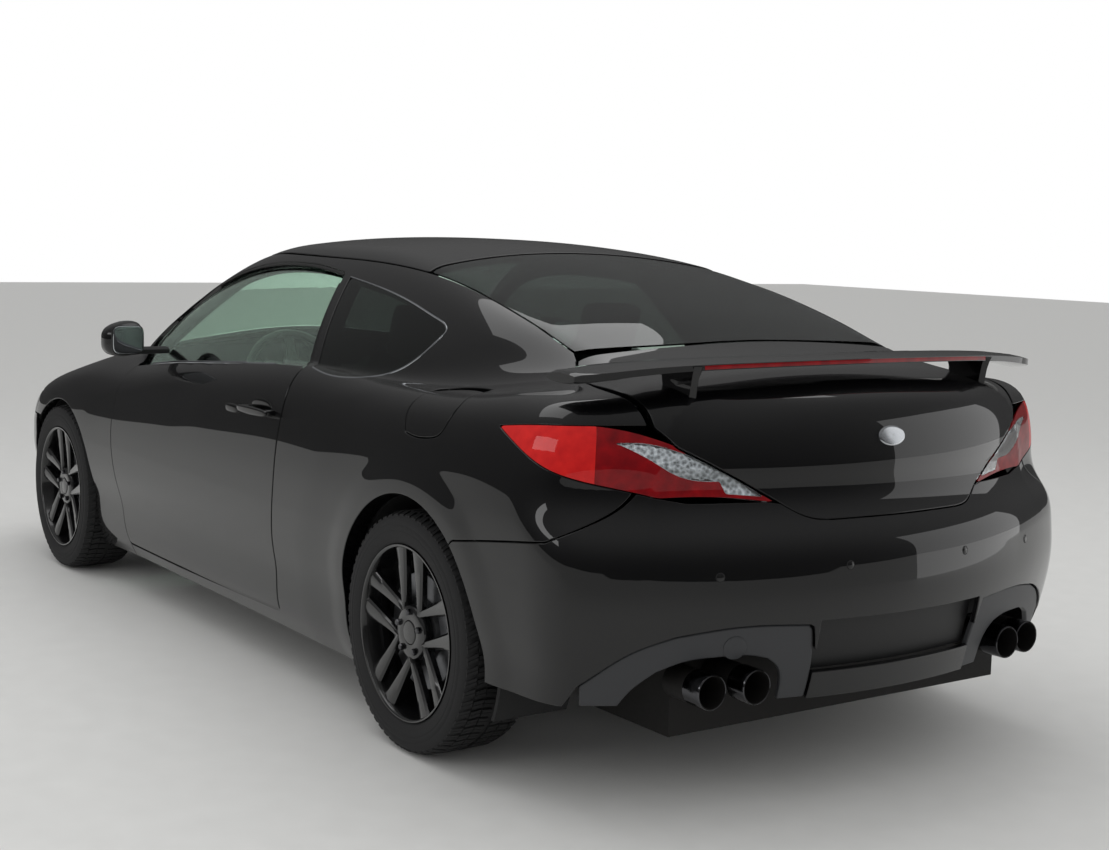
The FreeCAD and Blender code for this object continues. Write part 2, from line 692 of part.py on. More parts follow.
# Fuel flap in the left quarter, over a recess with a latch post
flap_skin = 5
flap_panel = slab(side_ray, spread(-1560, -1210, 8), spread(0.2, 0.8, 8), 0, flap_skin)
fuel_flap = flap_panel.common(side_cutter(FLAP_RUNS, 0, LEFT_FAR))
flap_recess = slab(side_ray, spread(-1580, -1190, 8), spread(0.15, 0.85, 8), -30, 30)
flap_hole = side_cutter(FLAP_RUNS, 0, LEFT_FAR, door_gap).common(flap_recess)
latch = slab(side_ray, spread(-1560, -1210, 8), spread(0.2, 0.8, 8), flap_skin + seat, 35)
latch = latch.common(box(px(-1482), px(-1462), 0, LEFT_FAR, pz(925), pz(945)))
body_side_left = body_side.cut(flap_hole).fuse(latch)

# Doors, each with two hinge arms that lie on plates of the platform
door_panel = slab(side_ray, spread(-620, 950, 24), spread(0, 0.86, 20), 0, size("door_thickness"))
door = door_panel.common(side_cutter(DOOR_RUNS, 0, LEFT_FAR))
HINGE_X = px(900)
HINGE_Y = py(907)
arm_t = size("hinge_arm_thickness")
hinge_plates = []
for z, near, far in ((470, 885, 945), (620, 900, 960)):
    ring = Part.makeCylinder(60, arm_t, Vector(HINGE_X, HINGE_Y, pz(z)))
    ring = ring.cut(Part.makeCylinder(42, arm_t, Vector(HINGE_X, HINGE_Y, pz(z))))
    sweep = box(px(near), px(far), HINGE_Y - 70, HINGE_Y - 20, pz(z), pz(z) + arm_t)
    door = door.fuse(ring.common(sweep))
    plate_x = px(905) if z == 470 else px(925)
    hinge_plates.append(box(plate_x, plate_x + 22, py(690), HINGE_Y - 46, pz(z) - seat - 10, pz(z) - seat))

# Front wings, bonnet, cowl, roof and glass
wing_panel = slab(side_ray, spread(840, 1900, 20), spread(0, 0.9, 20), 0, skin)
bonnet_hole = whole_top(BONNET_TOP, pz(500), high, lid_gap)
wing = wing_panel.common(side_cutter(WING_SIDE, 0, LEFT_FAR, -gap / 2)).cut(arch_front).cut(door_hole)
wing = wing.cut(bonnet_hole).cut(box(px(900), px(1300), 0, py(680), pz(700), high))
wing = wing.cut(whole_top(SCREEN_TOP, pz(500), high, gap / 2)).cut(whole_top(COWL_TOP, pz(500), high, gap / 2))
wing = wing.cut(side_cutter(HEAD_SIDE, py(400), LEFT_FAR, gap / 2))
wing = wing.cut(side_cutter(NOSE_SIDE, 0, LEFT_FAR, gap / 2))
lid_t = size("lid_thickness")
bonnet_panel = slab(top_ray, spread(1100, 2170, 14), spread(-730, 730, 15), 0, lid_t)
bonnet = bonnet_panel.common(whole_top(BONNET_TOP, pz(500), high))
under_bonnet = slab(top_ray, spread(1380, 1620, 5), spread(300, 720, 6), -200, lid_t + seat)
glass_t = size("glass_thickness")
glass_in = size("glass_inset")
ledge_top = glass_in + glass_t + seat
roof_t = size("roof_thickness")
roof = slab(top_ray, spread(-900, 420, 14), spread(-590, 590, 13), 0, roof_t)
roof = roof.common(whole_top(ROOF_TOP, pz(900), high, -gap / 2))
roof_ledge = slab(top_ray, spread(-900, 420, 14), spread(-590, 590, 13), ledge_top, roof_t - 5)
screen_room = slab(top_ray, spread(260, 1150, 12), spread(-700, 700, 13), -60, ledge_top)
rear_room = slab(top_ray, spread(-1680, -770, 12), spread(-590, 590, 11), -60, ledge_top)
roof_ledge = roof_ledge.common(box(px(-865), px(375), -py(530), py(530), pz(900), high))
roof_ledge = roof_ledge.cut(screen_room).cut(rear_room)
roof = roof.fuse(roof_ledge)
cowl = slab(top_ray, spread(960, 1200, 7), spread(-710, 710, 11), 4, 20)
cowl = cowl.common(whole_top(COWL_TOP, pz(700), high, -gap / 2))
cowl_ledge = slab(top_ray, spread(940, 1200, 8), spread(-710, 710, 11), ledge_top, 20)
cowl = cowl.fuse(cowl_ledge.common(whole_top(COWL_LEDGE, pz(700), high)).cut(screen_room))
windscreen = slab(top_ray, spread(260, 1150, 12), spread(-700, 700, 13), glass_in, glass_in + glass_t)
windscreen = windscreen.common(whole_top(SCREEN_TOP, pz(800), high, -gap / 2))
rear_window = slab(top_ray, spread(-1680, -770, 12), spread(-590, 590, 11), glass_in, glass_in + glass_t)
rear_window = rear_window.common(whole_top(REAR_TOP, pz(800), high, -gap / 2))
side_in = size("side_glass_inset")
door_glass = slab(side_ray, spread(-600, 950, 14), spread(0.5, 1, 12), side_in, side_in + glass_t)
door_glass = door_glass.common(side_cutter(DOOR_GLASS_RUNS, 0, LEFT_FAR, -seat))
quarter_glass = slab(side_ray, spread(-1150, -400, 10), spread(0.5, 1, 10), 2, 2 + glass_t)
quarter_glass = quarter_glass.common(side_cutter(QUARTER_RUNS, 0, LEFT_FAR, -seat))

# Boot lid, tail lamps, rear bumper with its plate recess, and the exhaust surrounds
lid_panel = slab(lid_ray, spread(-26, 96, 22), spread(-680, 680, 17), 0, lid_t)
boot_lid = lid_panel.common(whole_top(LID_TOP, pz(600), high))
boot_lid = boot_lid.common(whole_rear(LID_REAR, px(-2600), px(-1000)))
under_lid = slab(lid_ray, spread(60, 96, 8), spread(-200, 200, 7), -200, lid_t + seat)
lamp_block = slab(tail_corner_ray, spread(-20, 80, 12), spread(2, 40, 9), 0, 45)
lamp_cut = side_cutter(LAMP_SIDE, 0, LEFT_FAR).common(rear_cutter(LAMP_REAR, px(-2600), px(-1600)))
lamp_lip = slab(tail_corner_ray, spread(-20, 80, 12), spread(2, 40, 9), skin + seat, 45)
lamp_lip = lamp_lip.common(rear_cutter(LAMP_REAR, px(-2600), px(-2112), 10))
lamp_lip = lamp_lip.common(box(px(-2600), px(-2112), 0, LEFT_FAR, pz(765), pz(805)))
tail_lamp = lamp_block.common(lamp_cut).fuse(lamp_lip).cut(lid_hole)
bumper_rear = slab(tail_ray, spread(-76, 76, 29), spread(215, 800, 13), 0, skin)
bumper_half = side_cutter(BUMPER_SIDE, 0, LEFT_FAR, -gap / 2).cut(arch_rear)
bumper_rear = bumper_rear.common(bumper_half.fuse(mirrored(bumper_half)).removeSplitter())
bumper_rear = bumper_rear.cut(whole_rear(SHELF_REAR, px(-2600), px(-2104), gap / 2))
bumper_rear = bumper_rear.cut(box(px(-2600), px(-1600), -py(1000), py(1000), 0, pz(285)))
pod_hole = rear_cutter(POD_REAR, px(-2600), px(-1900), gap / 2)
bumper_rear = bumper_rear.cut(pod_hole).cut(mirrored(pod_hole))
plate_hole = whole_rear(PLATE_REAR, px(-2600), px(-2100))
plate_rim = whole_rear(PLATE_REAR, px(-2600), px(-2100), 8)
plate_d = size("plate_recess_depth")
pan_edge = slab(tail_ray, spread(-20, 20, 9), spread(330, 520, 6), 0, plate_d).common(plate_rim.cut(plate_hole))
pan_floor = slab(tail_ray, spread(-20, 20, 9), spread(330, 520, 6), plate_d - 8, plate_d + 2).common(plate_rim)
plate_x = px(-2264)
carrier = box(plate_x, plate_x + 36, -py(262), py(262), pz(366), pz(482))
bumper_rear = bumper_rear.cut(plate_hole).fuse([pan_edge, pan_floor, carrier])
pod_hull = rear_cutter(POD_REAR, px(-2600), px(-1900), -gap / 2)
pod = slab(tail_ray, spread(4, 50, 12), spread(215, 560, 8), 6, skin + 6).common(pod_hull)
pod_lip = slab(tail_ray, spread(4, 50, 12), spread(215, 560, 8), skin + seat, skin + seat + 8)
pod_lip = pod_lip.common(rear_cutter(POD_REAR, px(-2600), px(-1900), 12))
pod_lip = pod_lip.cut(bumper_room).cut(box(px(-2600), px(-1600), 0, LEFT_FAR, 0, pz(285)))
pod = pod.fuse(pod_lip).cut(rear_cutter(POD_OPENING, px(-2600), px(-1900)))

# Front bumper, grille and headlamps
bumper_front = slab(nose_ray, spread(-66, 66, 25), spread(160, 735, 13), 0, skin)
nose_half = side_cutter(NOSE_SIDE, 0, LEFT_FAR, -gap / 2).cut(arch_front)
bumper_front = bumper_front.common(nose_half.fuse(mirrored(nose_half)).removeSplitter())
bumper_front = bumper_front.cut(bonnet_hole).cut(whole_rear(MOUTH, px(1900), px(2600)))
grille = slab(nose_ray, spread(-18, 18, 9), spread(205, 450, 5), 22, 34)
grille = grille.common(whole_rear(MOUTH, px(1900), px(2600), 10))
nose_room = slab(nose_ray, spread(-66, 66, 25), spread(160, 735, 13), -60, skin + seat)
grille_rim = slab(nose_ray, spread(-18, 18, 9), spread(205, 450, 5), skin - 2, 24).cut(nose_room)
grille_rim = grille_rim.common(whole_rear(MOUTH, px(1900), px(2600), 10))
grille = grille.fuse(grille_rim.cut(whole_rear(MOUTH, px(1900), px(2600), -2)))
head_block = slab(nose_corner_ray, spread(-10, 80, 12), spread(5, 50, 9), 0, 45)
headlamp = head_block.common(side_cutter(HEAD_SIDE, py(400), LEFT_FAR, -gap / 2))
head_lip = slab(nose_corner_ray, spread(-10, 80, 12), spread(5, 50, 9), skin + seat, 45)
wing_room = slab(side_ray, spread(840, 1900, 20), spread(0, 0.9, 20), -60, skin + seat)
head_lip = head_lip.common(side_cutter(HEAD_SIDE, py(400), LEFT_FAR, 10)).cut(nose_room).cut(wing_room)
headlamp = headlamp.fuse(head_lip).cut(bonnet_hole)

# Platform: floor with its tunnel, firewall with the front rails, and boot floor with its bulkheads
t = size("steel_thickness")
floor_z = size("floor_bottom")
floor_top = floor_z + size("floor_thickness")
inner_y = size("sill_inner_half")
tunnel_y = size("tunnel_half_width")
tunnel_z = floor_z + size("tunnel_height")
boot_z = size("boot_floor_height")
back_x = px(-900)
dash_x = px(900)
lamp_x = px(-2120)
jack_h = size("jack_pad_height")
pads = []
for y in (-py(690), py(690)):
    for x in (px(-860), px(760)):
        pads.append(Part.makeCylinder(size("jack_pad_radius"), jack_h, Vector(x, y, floor_z - jack_h)))
floor = box(back_x + seat, dash_x - seat, -inner_y, inner_y, floor_z, floor_top)
floor = floor.fuse([box(back_x + seat, dash_x - seat, -tunnel_y, tunnel_y, floor_z, tunnel_z)] + pads)
floor = floor.cut(box(back_x, dash_x, -tunnel_y + t, tunnel_y - t, floor_z - 1, tunnel_z - t))

rail_top = pz(440)
side_parts = [box(dash_x + t, px(2150), py(440), py(490), pz(360), rail_top),
              box(px(800), px(880), py(735), py(772), floor_top + seat, pz(800)),
              box(px(800), dash_x + t, py(700), py(772), pz(700), pz(730))] + hinge_plates
firewall = box(dash_x, dash_x + t, -py(700), py(700), floor_z, pz(860))
firewall = firewall.fuse([box(px(2120), px(2120) + 2 * t, -py(520), py(520), pz(360), pz(480))])
firewall = firewall.fuse(side_parts + [mirrored(part) for part in side_parts])
firewall = firewall.cut(box(dash_x - 1, dash_x + t + 1, -tunnel_y + t, tunnel_y - t, floor_z - 1, tunnel_z - t))

shelf_z = pz(930)
boot_half = py(560)
boot_floor = box(lamp_x, back_x, -py(640), py(640), boot_z, boot_z + t)
boot_floor = boot_floor.fuse([box(back_x - t, back_x, -py(640), py(640), floor_z, boot_z),
                              box(lamp_x, lamp_x + t, -boot_half, boot_half, boot_z, pz(700)),
                              box(px(-1640), px(-1120), -boot_half, boot_half, shelf_z, shelf_z + t),
                              box(px(-1120) - t, px(-1120), -boot_half, boot_half, boot_z + t, shelf_z),
                              box(px(-2170), lamp_x + t, -py(35), py(35), pz(690), pz(760)).cut(under_lid)])
boot_floor = boot_floor.cut(box(back_x - t - 1, back_x + 1, -tunnel_y + t, tunnel_y - t, floor_z - 1, tunnel_z - t))

house_t = size("wheel_house_thickness")
rear_well = circle_cutter(REAR_AXLE, rear_arch_z, rear_arch_r + house_t + seat, py(640) - house_t - seat, LEFT_FAR)
front_y = py(500) - house_t - seat
front_well = circle_cutter(FRONT_AXLE, front_arch_z, front_house_r + house_t + seat, front_y, LEFT_FAR)
envelope = slab(side_ray, spread(-2045, 1960, 34), spread(0, 1, 14), -200, wall + 2)
envelope = envelope.cut(box(px(880), px(1000), 0, LEFT_FAR, pz(400), pz(700)))
sill_room = box(px(-1100), px(880), inner_y, LEFT_FAR, 0, pz(240))
rooms = [rear_well, front_well, envelope, sill_room]
rooms += [mirrored(room) for room in rooms]
for room in rooms:
    floor = floor.cut(room)
    firewall = firewall.cut(room)
    boot_floor = boot_floor.cut(room)


# Wheel houses: half barrels with a closed inner side, the front ones carry the bonnet's rubber stops
def wheel_house(x, z, radius, y0, y1):
    outer = circle_cutter(x, z, radius + house_t, y0 - house_t, y1)
    inner = circle_cutter(x, z, radius, y0, y1 + 1)
    reach = radius + house_t + 1
    whole = box(x - reach, x + reach, y0 - house_t - 1, y1 + 2, floor_z, z + reach)
    return outer.cut(inner).common(whole)


rear_house = wheel_house(REAR_AXLE, rear_arch_z, rear_arch_r, py(640), py(855))
rear_house = rear_house.cut(box(REAR_AXLE - 80, REAR_AXLE + 80, py(600), py(660), axle_z - 80, axle_z + 80))
front_house = wheel_house(FRONT_AXLE, front_arch_z, front_house_r, py(500), py(880))
front_house = front_house.cut(box(FRONT_AXLE - 40, FRONT_AXLE + 40, py(470), py(520), axle_z - 165, axle_z - 107))
front_house = front_house.cut(box(FRONT_AXLE - 40, FRONT_AXLE + 40, py(470), py(520), axle_z + 109, axle_z + 155))
stop = box(FRONT_AXLE - 20, FRONT_AXLE + 20, py(590), py(630), front_arch_z + front_house_r + 5, pz(900))
front_house = front_house.fuse(stop.cut(under_bonnet)).cut(box(0, px(2300), py(440), py(490), pz(355), pz(445)))
side_room = slab(side_ray, spread(-2045, 1000, 34), spread(0, 1, 24), -200, wall + seat)
houses = []
for house in (rear_house, front_house):
    house = house.cut(envelope).cut(side_room)
    houses += [house, mirrored(house)]

# Engine and gearbox as one plain block
engine = doc.addObject("PartDesign::Body", "engine")
block_sketch = new_sketch(engine, "block_outline", "XY_Plane")
draw(block_sketch, [(tied("engine_front_of_axle"), tied("engine_width", 0, -0.5)),
                    (tied("engine_front_of_axle"), tied("engine_width", 0, 0.5)),
                    (tied("engine_front_of_axle", -size("engine_length")), tied("engine_width", 0, 0.5)),
                    (tied("engine_front_of_axle", -size("engine_length")), tied("engine_width", 0, -0.5))])
engine_pad = engine.newObject("PartDesign::Pad", "block")
engine_pad.Profile = block_sketch
engine_pad.setExpression("Length", "sizes.engine_height")
engine.Tip = engine_pad
bound(engine, x=FRONT_X, z=at_z(240))

# Front suspension, left half and its mirror image on one cross member
half = [block("lower_arm", FRONT_X + " - 22", at_y(380), AXLE_Z + " - 150", 44, PIN_Y + " + 20 - " + at_y(380), 28),
        block("upper_arm", FRONT_X + " - 22", at_y(380), AXLE_Z + " + 118", 44, PIN_Y + " + 20 - " + at_y(380), 22),
        block("arm_post", FRONT_X + " - 22", at_y(380), AXLE_Z + " - 150", 44, at_y(25), 290),
        block("rail_seat", FRONT_X + " - 22", at_y(400), at_z(375), 44, at_y(40), at_z(50)),
        round_bar("kingpin", FRONT_X, PIN_Y, AXLE_Z + " - 150", "z", "sizes.kingpin_radius", 290)]
front_half = fused("front_half", half)
cross = block("front_cross_member", FRONT_X + " - 60", at_y(-400), AXLE_Z + " - 160", 120, at_y(800),
              at_z(240) + " - " + AXLE_Z + " + 160")
front_gear = fused("front_gear", [cross, front_half, other_side("front_half_right", front_half)])

# Rear suspension: beam on two posts, final drive, shafts, hub carriers and spindles
sphere = ball("final_drive", REAR_X, 0, AXLE_Z, 130)
above = block("above_final_drive", REAR_X + " - 200", -200, "sizes.boot_floor_height - 5", 400, 400, 200)
half = [block("beam_post", REAR_X + " - 20", at_y(300), AXLE_Z + " + 20", 40, at_y(40),
              "sizes.boot_floor_height - " + AXLE_Z + " - 20"),
        round_bar("drive_shaft", REAR_X, 0, AXLE_Z, "y", 28, REAR_Y + " - 60"),
        round_bar("hub_carrier", REAR_X, REAR_Y + " - 70", AXLE_Z, "y", 75, 50),
        round_bar("rear_spindle", REAR_X, REAR_Y + " - 20", AXLE_Z, "y", "sizes.hub_bore_radius", 70)]
rear_half = fused("rear_half", half)
beam = block("rear_beam", REAR_X + " - 60", at_y(-430), AXLE_Z + " - 60", 120, at_y(860), 80)
rear_gear = fused("rear_gear", [beam, cut_from("final_drive_case", sphere, above), rear_half,
                                other_side("rear_half_right", rear_half)])

# Exhaust: pipe, silencer with four hangers, and twin tips on each side
pipe_z = "sizes.floor_bottom + sizes.exhaust_pipe_radius + 25"
pipe_r = "sizes.exhaust_pipe_radius"
pieces = [block("silencer", at_x(-2070), at_y(-590), "sizes.floor_bottom + 20",
                at_x(-1760) + " - " + at_x(-2070), at_y(1180), at_z(378) + " - sizes.floor_bottom - 20"),
          round_bar("front_pipe", at_x(-960), 0, pipe_z, "x", pipe_r, at_x(860) + " - " + at_x(-960)),
          round_bar("cross_pipe", at_x(-960), 0, pipe_z, "y", pipe_r, at_y(300)),
          round_bar("rear_pipe", at_x(-1765), at_y(300), pipe_z, "x", pipe_r, at_x(-960) + " - " + at_x(-1765)),
          ball("front_bend", at_x(-960), 0, pipe_z, pipe_r),
          ball("rear_bend", at_x(-960), at_y(300), pipe_z, pipe_r)]
for row, (x, y) in enumerate([(-2040, 250), (-1820, 250), (-2040, -290), (-1820, -290)]):
    pieces.append(block("hanger_%d" % row, at_x(x), at_y(y), at_z(370), 20, 40,
                        "sizes.boot_floor_height - sizes.seat_gap - " + at_z(370)))
for row, (x, y, z) in enumerate([(a, b * sign, c) for a, b, c in TIPS for sign in (1, -1)]):
    tube = round_bar("tip_%d_outer" % row, at_x(x), at_y(y), at_z(z), "x", "sizes.exhaust_tip_radius",
                     at_x(-2065) + " - " + at_x(x))
    hollow = round_bar("tip_%d_bore" % row, at_x(x) + " - 1", at_y(y), at_z(z), "x",
                       "sizes.exhaust_tip_radius - sizes.exhaust_tip_wall", at_x(-2080) + " - " + at_x(x))
    pieces.append(cut_from("tip_%d" % row, tube, hollow))
exhaust = fused("exhaust_system", pieces)

# Hub carrier of the front left wheel with its spindle and brake caliper, turning on the kingpin
disc_y = FRONT_Y + " + " + DISC_IN
solid = [round_bar("carrier", FRONT_X, disc_y + " - 70", AXLE_Z, "y", 60, 60),
         round_bar("spindle", FRONT_X, disc_y + " - 40", AXLE_Z, "y", "sizes.hub_bore_radius",
                   "88 + sizes.brake_disc_thickness - 20"),
         block("web", FRONT_X + " - 30", PIN_Y + " - 28", AXLE_Z + " - 118", 60,
               disc_y + " - 20 - " + PIN_Y + " + 28", 230),
         block("caliper_arm", FRONT_X + " - 110", disc_y + " - 34", AXLE_Z + " - 30", 90, 22, 60),
         block("caliper_block", FRONT_X + " - 182", disc_y + " - 24", AXLE_Z + " - 50", 87,
               "35 + sizes.brake_disc_thickness", 100)]
disc_room = round_bar("disc_room", FRONT_X, disc_y + " - 5", AXLE_Z, "y", "sizes.brake_disc_radius + 6",
                      "sizes.brake_disc_thickness + 10")
pin_room = round_bar("pin_bore", FRONT_X, PIN_Y, AXLE_Z + " - 200", "z",
                     "sizes.kingpin_radius + sizes.spindle_clearance", 400)
caliper = cut_from("caliper", solid[4], disc_room)
knuckle_left = cut_from("knuckle", fused("carrier_parts", solid[:4] + [caliper]), pin_room)

# Wheels: tyre and rim turned about the axle, five pairs of spokes
WHEELS = [("front_left", FRONT_X, 1, FRONT_Y), ("front_right", FRONT_X, -1, FRONT_Y),
          ("rear_left", REAR_X, 1, REAR_Y), ("rear_right", REAR_X, -1, REAR_Y)]
TYRE = [(tied("rim_width", 0, -0.5), tied("rim_radius", 1)), (tied("rim_width", -4, -0.5), tied("rim_radius", 16)),
        (tied("tyre_width", 0, -0.5), tied("rim_radius", 45)), (tied("tyre_width", 6, -0.5), tied("tyre_radius", -22)),
        (tied("tyre_width", 22, -0.5), tied("tyre_radius", -4)), (0, tied("tyre_radius")),
        (tied("tyre_width", -22, 0.5), tied("tyre_radius", -4)), (tied("tyre_width", -6, 0.5), tied("tyre_radius", -22)),
        (tied("tyre_width", 0, 0.5), tied("rim_radius", 45)), (tied("rim_width", 4, 0.5), tied("rim_radius", 16)),
        (tied("rim_width", 0, 0.5), tied("rim_radius", 1))]
disc_t = size("brake_disc_thickness")
bore = tied("hub_bore_radius", size("spindle_clearance"))
disc_back = tied("rim_width", -60 - disc_t, 0.5)
disc_face = tied("rim_width", -60, 0.5)
HUB = [(disc_back, bore), (disc_back, tied("brake_disc_radius")), (disc_face, tied("brake_disc_radius")),
       (disc_face, 78), (tied("rim_width", -30, 0.5), 78), (tied("rim_width", -20, 0.5), 62),
       (tied("rim_width", -16, 0.5), 40), (tied("rim_width", -16, 0.5), bore)]
BARREL = [(tied("rim_width", 0, -0.5), tied("rim_radius")), (tied("rim_width", 0, -0.5), tied("rim_radius", -9)),
          (tied("rim_width", 14, -0.5), tied("rim_radius", -13)), (tied("rim_width", -14, 0.5), tied("rim_radius", -13)),
          (tied("rim_width", 0, 0.5), tied("rim_radius", -8)), (tied("rim_width", 0, 0.5), tied("rim_radius"))]
SPOKE = [(-50, 50), (-34, 62), (-17, tied("rim_radius", -8)), (-73, tied("rim_radius", -20))]


def turned(body, name, points):
    sketch = new_sketch(body, name + "_profile", "XY_Plane")
    draw(sketch, points)
    turn = body.newObject("PartDesign::Revolution", name)
    turn.Profile = sketch
    turn.ReferenceAxis = (sketch, ["H_Axis"])
    turn.Angle = 360
    return turn


def placed(body, x, sign, y):
    body.Placement = Placement(Vector(), Rotation(Vector(0, 0, 1), 90 * sign))
    return bound(body, x=x, y="%d * %s" % (sign, y), z=AXLE_Z)


for place, x, sign, y in WHEELS:
    tyre = doc.addObject("PartDesign::Body", "tyre_body_" + place)
    tyre.Tip = turned(tyre, "tyre_section_" + place, TYRE)
    keep(placed(tyre, x, sign, y), "tyre_" + place)
    rim = doc.addObject("PartDesign::Body", "rim_body_" + place)
    turned(rim, "hub_" + place, HUB)
    spokes = new_sketch(rim, "spoke_pair_" + place, "YZ_Plane", size("rim_width") / 2 - 40)
    draw(spokes, SPOKE)
    draw(spokes, [(-a, b) for a, b in SPOKE[::-1]])
    spoke_pad = rim.newObject("PartDesign::Pad", "spokes_" + place)
    spoke_pad.Profile = spokes
    spoke_pad.setExpression("Length", "sizes.spoke_thickness")
    ring = rim.newObject("PartDesign::PolarPattern", "spoke_ring_" + place)
    ring.Originals = [spoke_pad]
    ring.Axis = (spokes, ["N_Axis"])
    ring.Angle = 360
    ring.Occurrences = 5
    rim.Tip = ring
    rim.Tip = turned(rim, "barrel_" + place, BARREL)
    keep(placed(rim, x, sign, y), "rim_" + place)


# Cabin: seats, bench, dashboard and steering wheel
def cushion(length, width, height, radius, lean, corner):
    shape = Part.makeBox(length, width, height)
    shape = shape.makeFillet(radius, shape.Edges)
    shape.rotate(Vector(0, 0, 0), Vector(0, 1, 0), lean)
    shape.translate(corner)
    return shape


seat_half = size("seat_width") / 2
seat_y = size("seat_offset")
legs = box(px(-220), px(180), seat_y - seat_half + 60, seat_y + seat_half - 60, floor_top, floor_top + 145)
front_seat = legs.fuse([
    cushion(px(240) - px(-280), 2 * seat_half, 160, 45, 0, Vector(px(-280), seat_y - seat_half, floor_top + 130)),
    cushion(110, 2 * seat_half - 20, 640, 40, -20, Vector(px(-290), seat_y - seat_half + 10, floor_top + 200)),
    cushion(90, 240, 190, 38, -20, Vector(px(-495), seat_y - 120, floor_top + 780))])
bench = box(px(-1000), px(-640), -py(600), py(600), boot_z + t, boot_z + t + 120)
bench = bench.fuse(box(px(-1118), px(-990), -py(540), py(540), boot_z + t, pz(930)))
bench = bench.fuse(box(px(-870), px(-640), -py(600), py(600), floor_top, boot_z + t + 50))
bench = bench.cut(box(px(-1200), px(-500), -tunnel_y - seat, tunnel_y + seat, 0, tunnel_z + seat))
wheel_c = Vector(px(430), py(370), pz(840))
tilt = Vector(-math.cos(math.radians(25)), 0, math.sin(math.radians(25)))
dash = box(px(560), dash_x, -py(690), py(690), pz(640), pz(850))
dash = dash.fuse(Part.makeCylinder(22, 240, wheel_c - tilt * (28 + seat), tilt * -1))
turn_to = Rotation(Vector(0, 0, 1), tilt)
wheel_ring = bound(doc.addObject("Part::Torus", "wheel_ring"), Radius1="sizes.steering_wheel_radius",
                   Radius2="sizes.steering_rim_radius")
wheel_ring.Placement = Placement(wheel_c, turn_to)
wheel_hub = bound(doc.addObject("Part::Cylinder", "wheel_hub"), Radius=62, Height=40)
wheel_hub.Placement = Placement(wheel_c - tilt * 28, turn_to)
wheel_bar = bound(doc.addObject("Part::Box", "wheel_bar"), Length=26, Width="2 * sizes.steering_wheel_radius", Height=14)
wheel_bar.Placement = Placement(wheel_c + turn_to.multVec(Vector(-13, -size("steering_wheel_radius"), -7)), turn_to)
wheel_stem = bound(doc.addObject("Part::Box", "wheel_stem"), Length="sizes.steering_wheel_radius", Width=34, Height=14)
wheel_stem.Placement = Placement(wheel_c + turn_to.multVec(Vector(-size("steering_wheel_radius"), -17, -7)), turn_to)
steering = fused("steering", [wheel_ring, wheel_hub, wheel_bar, wheel_stem])

# Mirrors on sails over the front corner of each window, door handles and rear wing
mirror_x = px(602)
mirror_y = py(885)
mirror_z = pz(928)
mirror = Part.makeBox(size("mirror_length"), size("mirror_width"), size("mirror_height"),
                      Vector(mirror_x, mirror_y, mirror_z))
mirror = mirror.makeFillet(30, mirror.Edges)
sail = slab(side_ray, spread(560, 930, 8), spread(0.5, 1, 12), 2, side_in - seat)
sail = sail.common(side_cutter(SAIL_SIDE, 0, LEFT_FAR))
arm_box = box(px(650), px(705), py(750), mirror_y + 40, pz(936), pz(962))
arm_box = arm_box.cut(slab(side_ray, spread(560, 800, 6), spread(0.4, 1, 12), 8, 80))
mirror = mirror.fuse([arm_box, sail])
handle = box(px(-460), px(-250), py(905), py(925), pz(822), pz(848))
handle = handle.fuse([box(px(-455), px(-425), py(870), py(907), pz(826), pz(844)),
                      box(px(-285), px(-255), py(870), py(907), pz(826), pz(844))])
handle = handle.cut(slab(side_ray, spread(-520, -200, 6), spread(0.3, 0.8, 8), -seat, 60))
span = size("spoiler_half_span")
thick = size("spoiler_thickness")
WING = [(0.0, -1905, 190, 1106), (0.5, -1890, 185, 1102), (0.85, -1850, 168, 1086), (0.95, -1836, 150, 1076),
        (1.0, -1830, 118, 1070)]


def wing_section(y, lead, chord, z):
    pts = [(0, 0), (0.08, 0.3), (0.25, 0.46), (0.6, 0.5), (1, 0.3), (1, -0.25), (0.5, -0.5), (0.15, -0.35)]
    path = [Vector(px(lead) - a * chord, y, pz(z) + b * thick) for a, b in pts]
    return Part.makePolygon(path + [path[0]])


sections = [wing_section(-share * span, lead, chord, z) for share, lead, chord, z in WING[::-1]]
sections += [wing_section(share * span, lead, chord, z) for share, lead, chord, z in WING[1:]]
spoiler = Part.makeLoft(sections, True, True)
deck = slab(lid_ray, spread(-26, 96, 22), spread(-680, 680, 17), -seat, 60)
for sign in (1, -1):
    foot = [(-1900, 1000), (-1905, 1104), (-2062, 1096), (-2050, 1000)]
    foot = Part.makePolygon([Vector(px(a), sign * py(520) - 13, pz(b)) for a, b in foot + foot[:1]])
    spoiler = spoiler.fuse(Part.Face(foot).extrude(Vector(0, 26, 0)))
spoiler = spoiler.cut(deck)

# The finished pieces, the right ones as mirror images of the left
keep(shaped("floor", floor), "floor_pan")
keep(shaped("bulkhead", firewall), "firewall")
keep(shaped("boot_tub", boot_floor), "boot_floor")
keep(shaped("houses", Part.Compound(houses)), "wheel_houses")
keep(engine, "engine_block")
keep(front_gear, "front_suspension")
keep(rear_gear, "rear_suspension")
keep(exhaust, "exhaust")
keep(both_sides("seats", shaped("seat_left", front_seat)), "front_seats")
keep(shaped("bench", bench), "rear_bench")
keep(shaped("dash", dash), "dashboard")
keep(steering, "steering_wheel")
keep(knuckle_left, "knuckle_front_left")
keep(other_side("knuckle_right", knuckle_left), "knuckle_front_right")
keep(shaped("side_left", body_side_left), "body_side_left")
keep(other_side("side_right", shaped("side_without_flap", body_side)), "body_side_right")
for name, shape in (("door", door), ("front_wing", wing), ("door_glass", door_glass), ("mirror", mirror),
                    ("door_handle", handle)):
    left = keep(shaped(name + "_l", shape), name + "_left")
    keep(other_side(name + "_r", left), name + "_right")
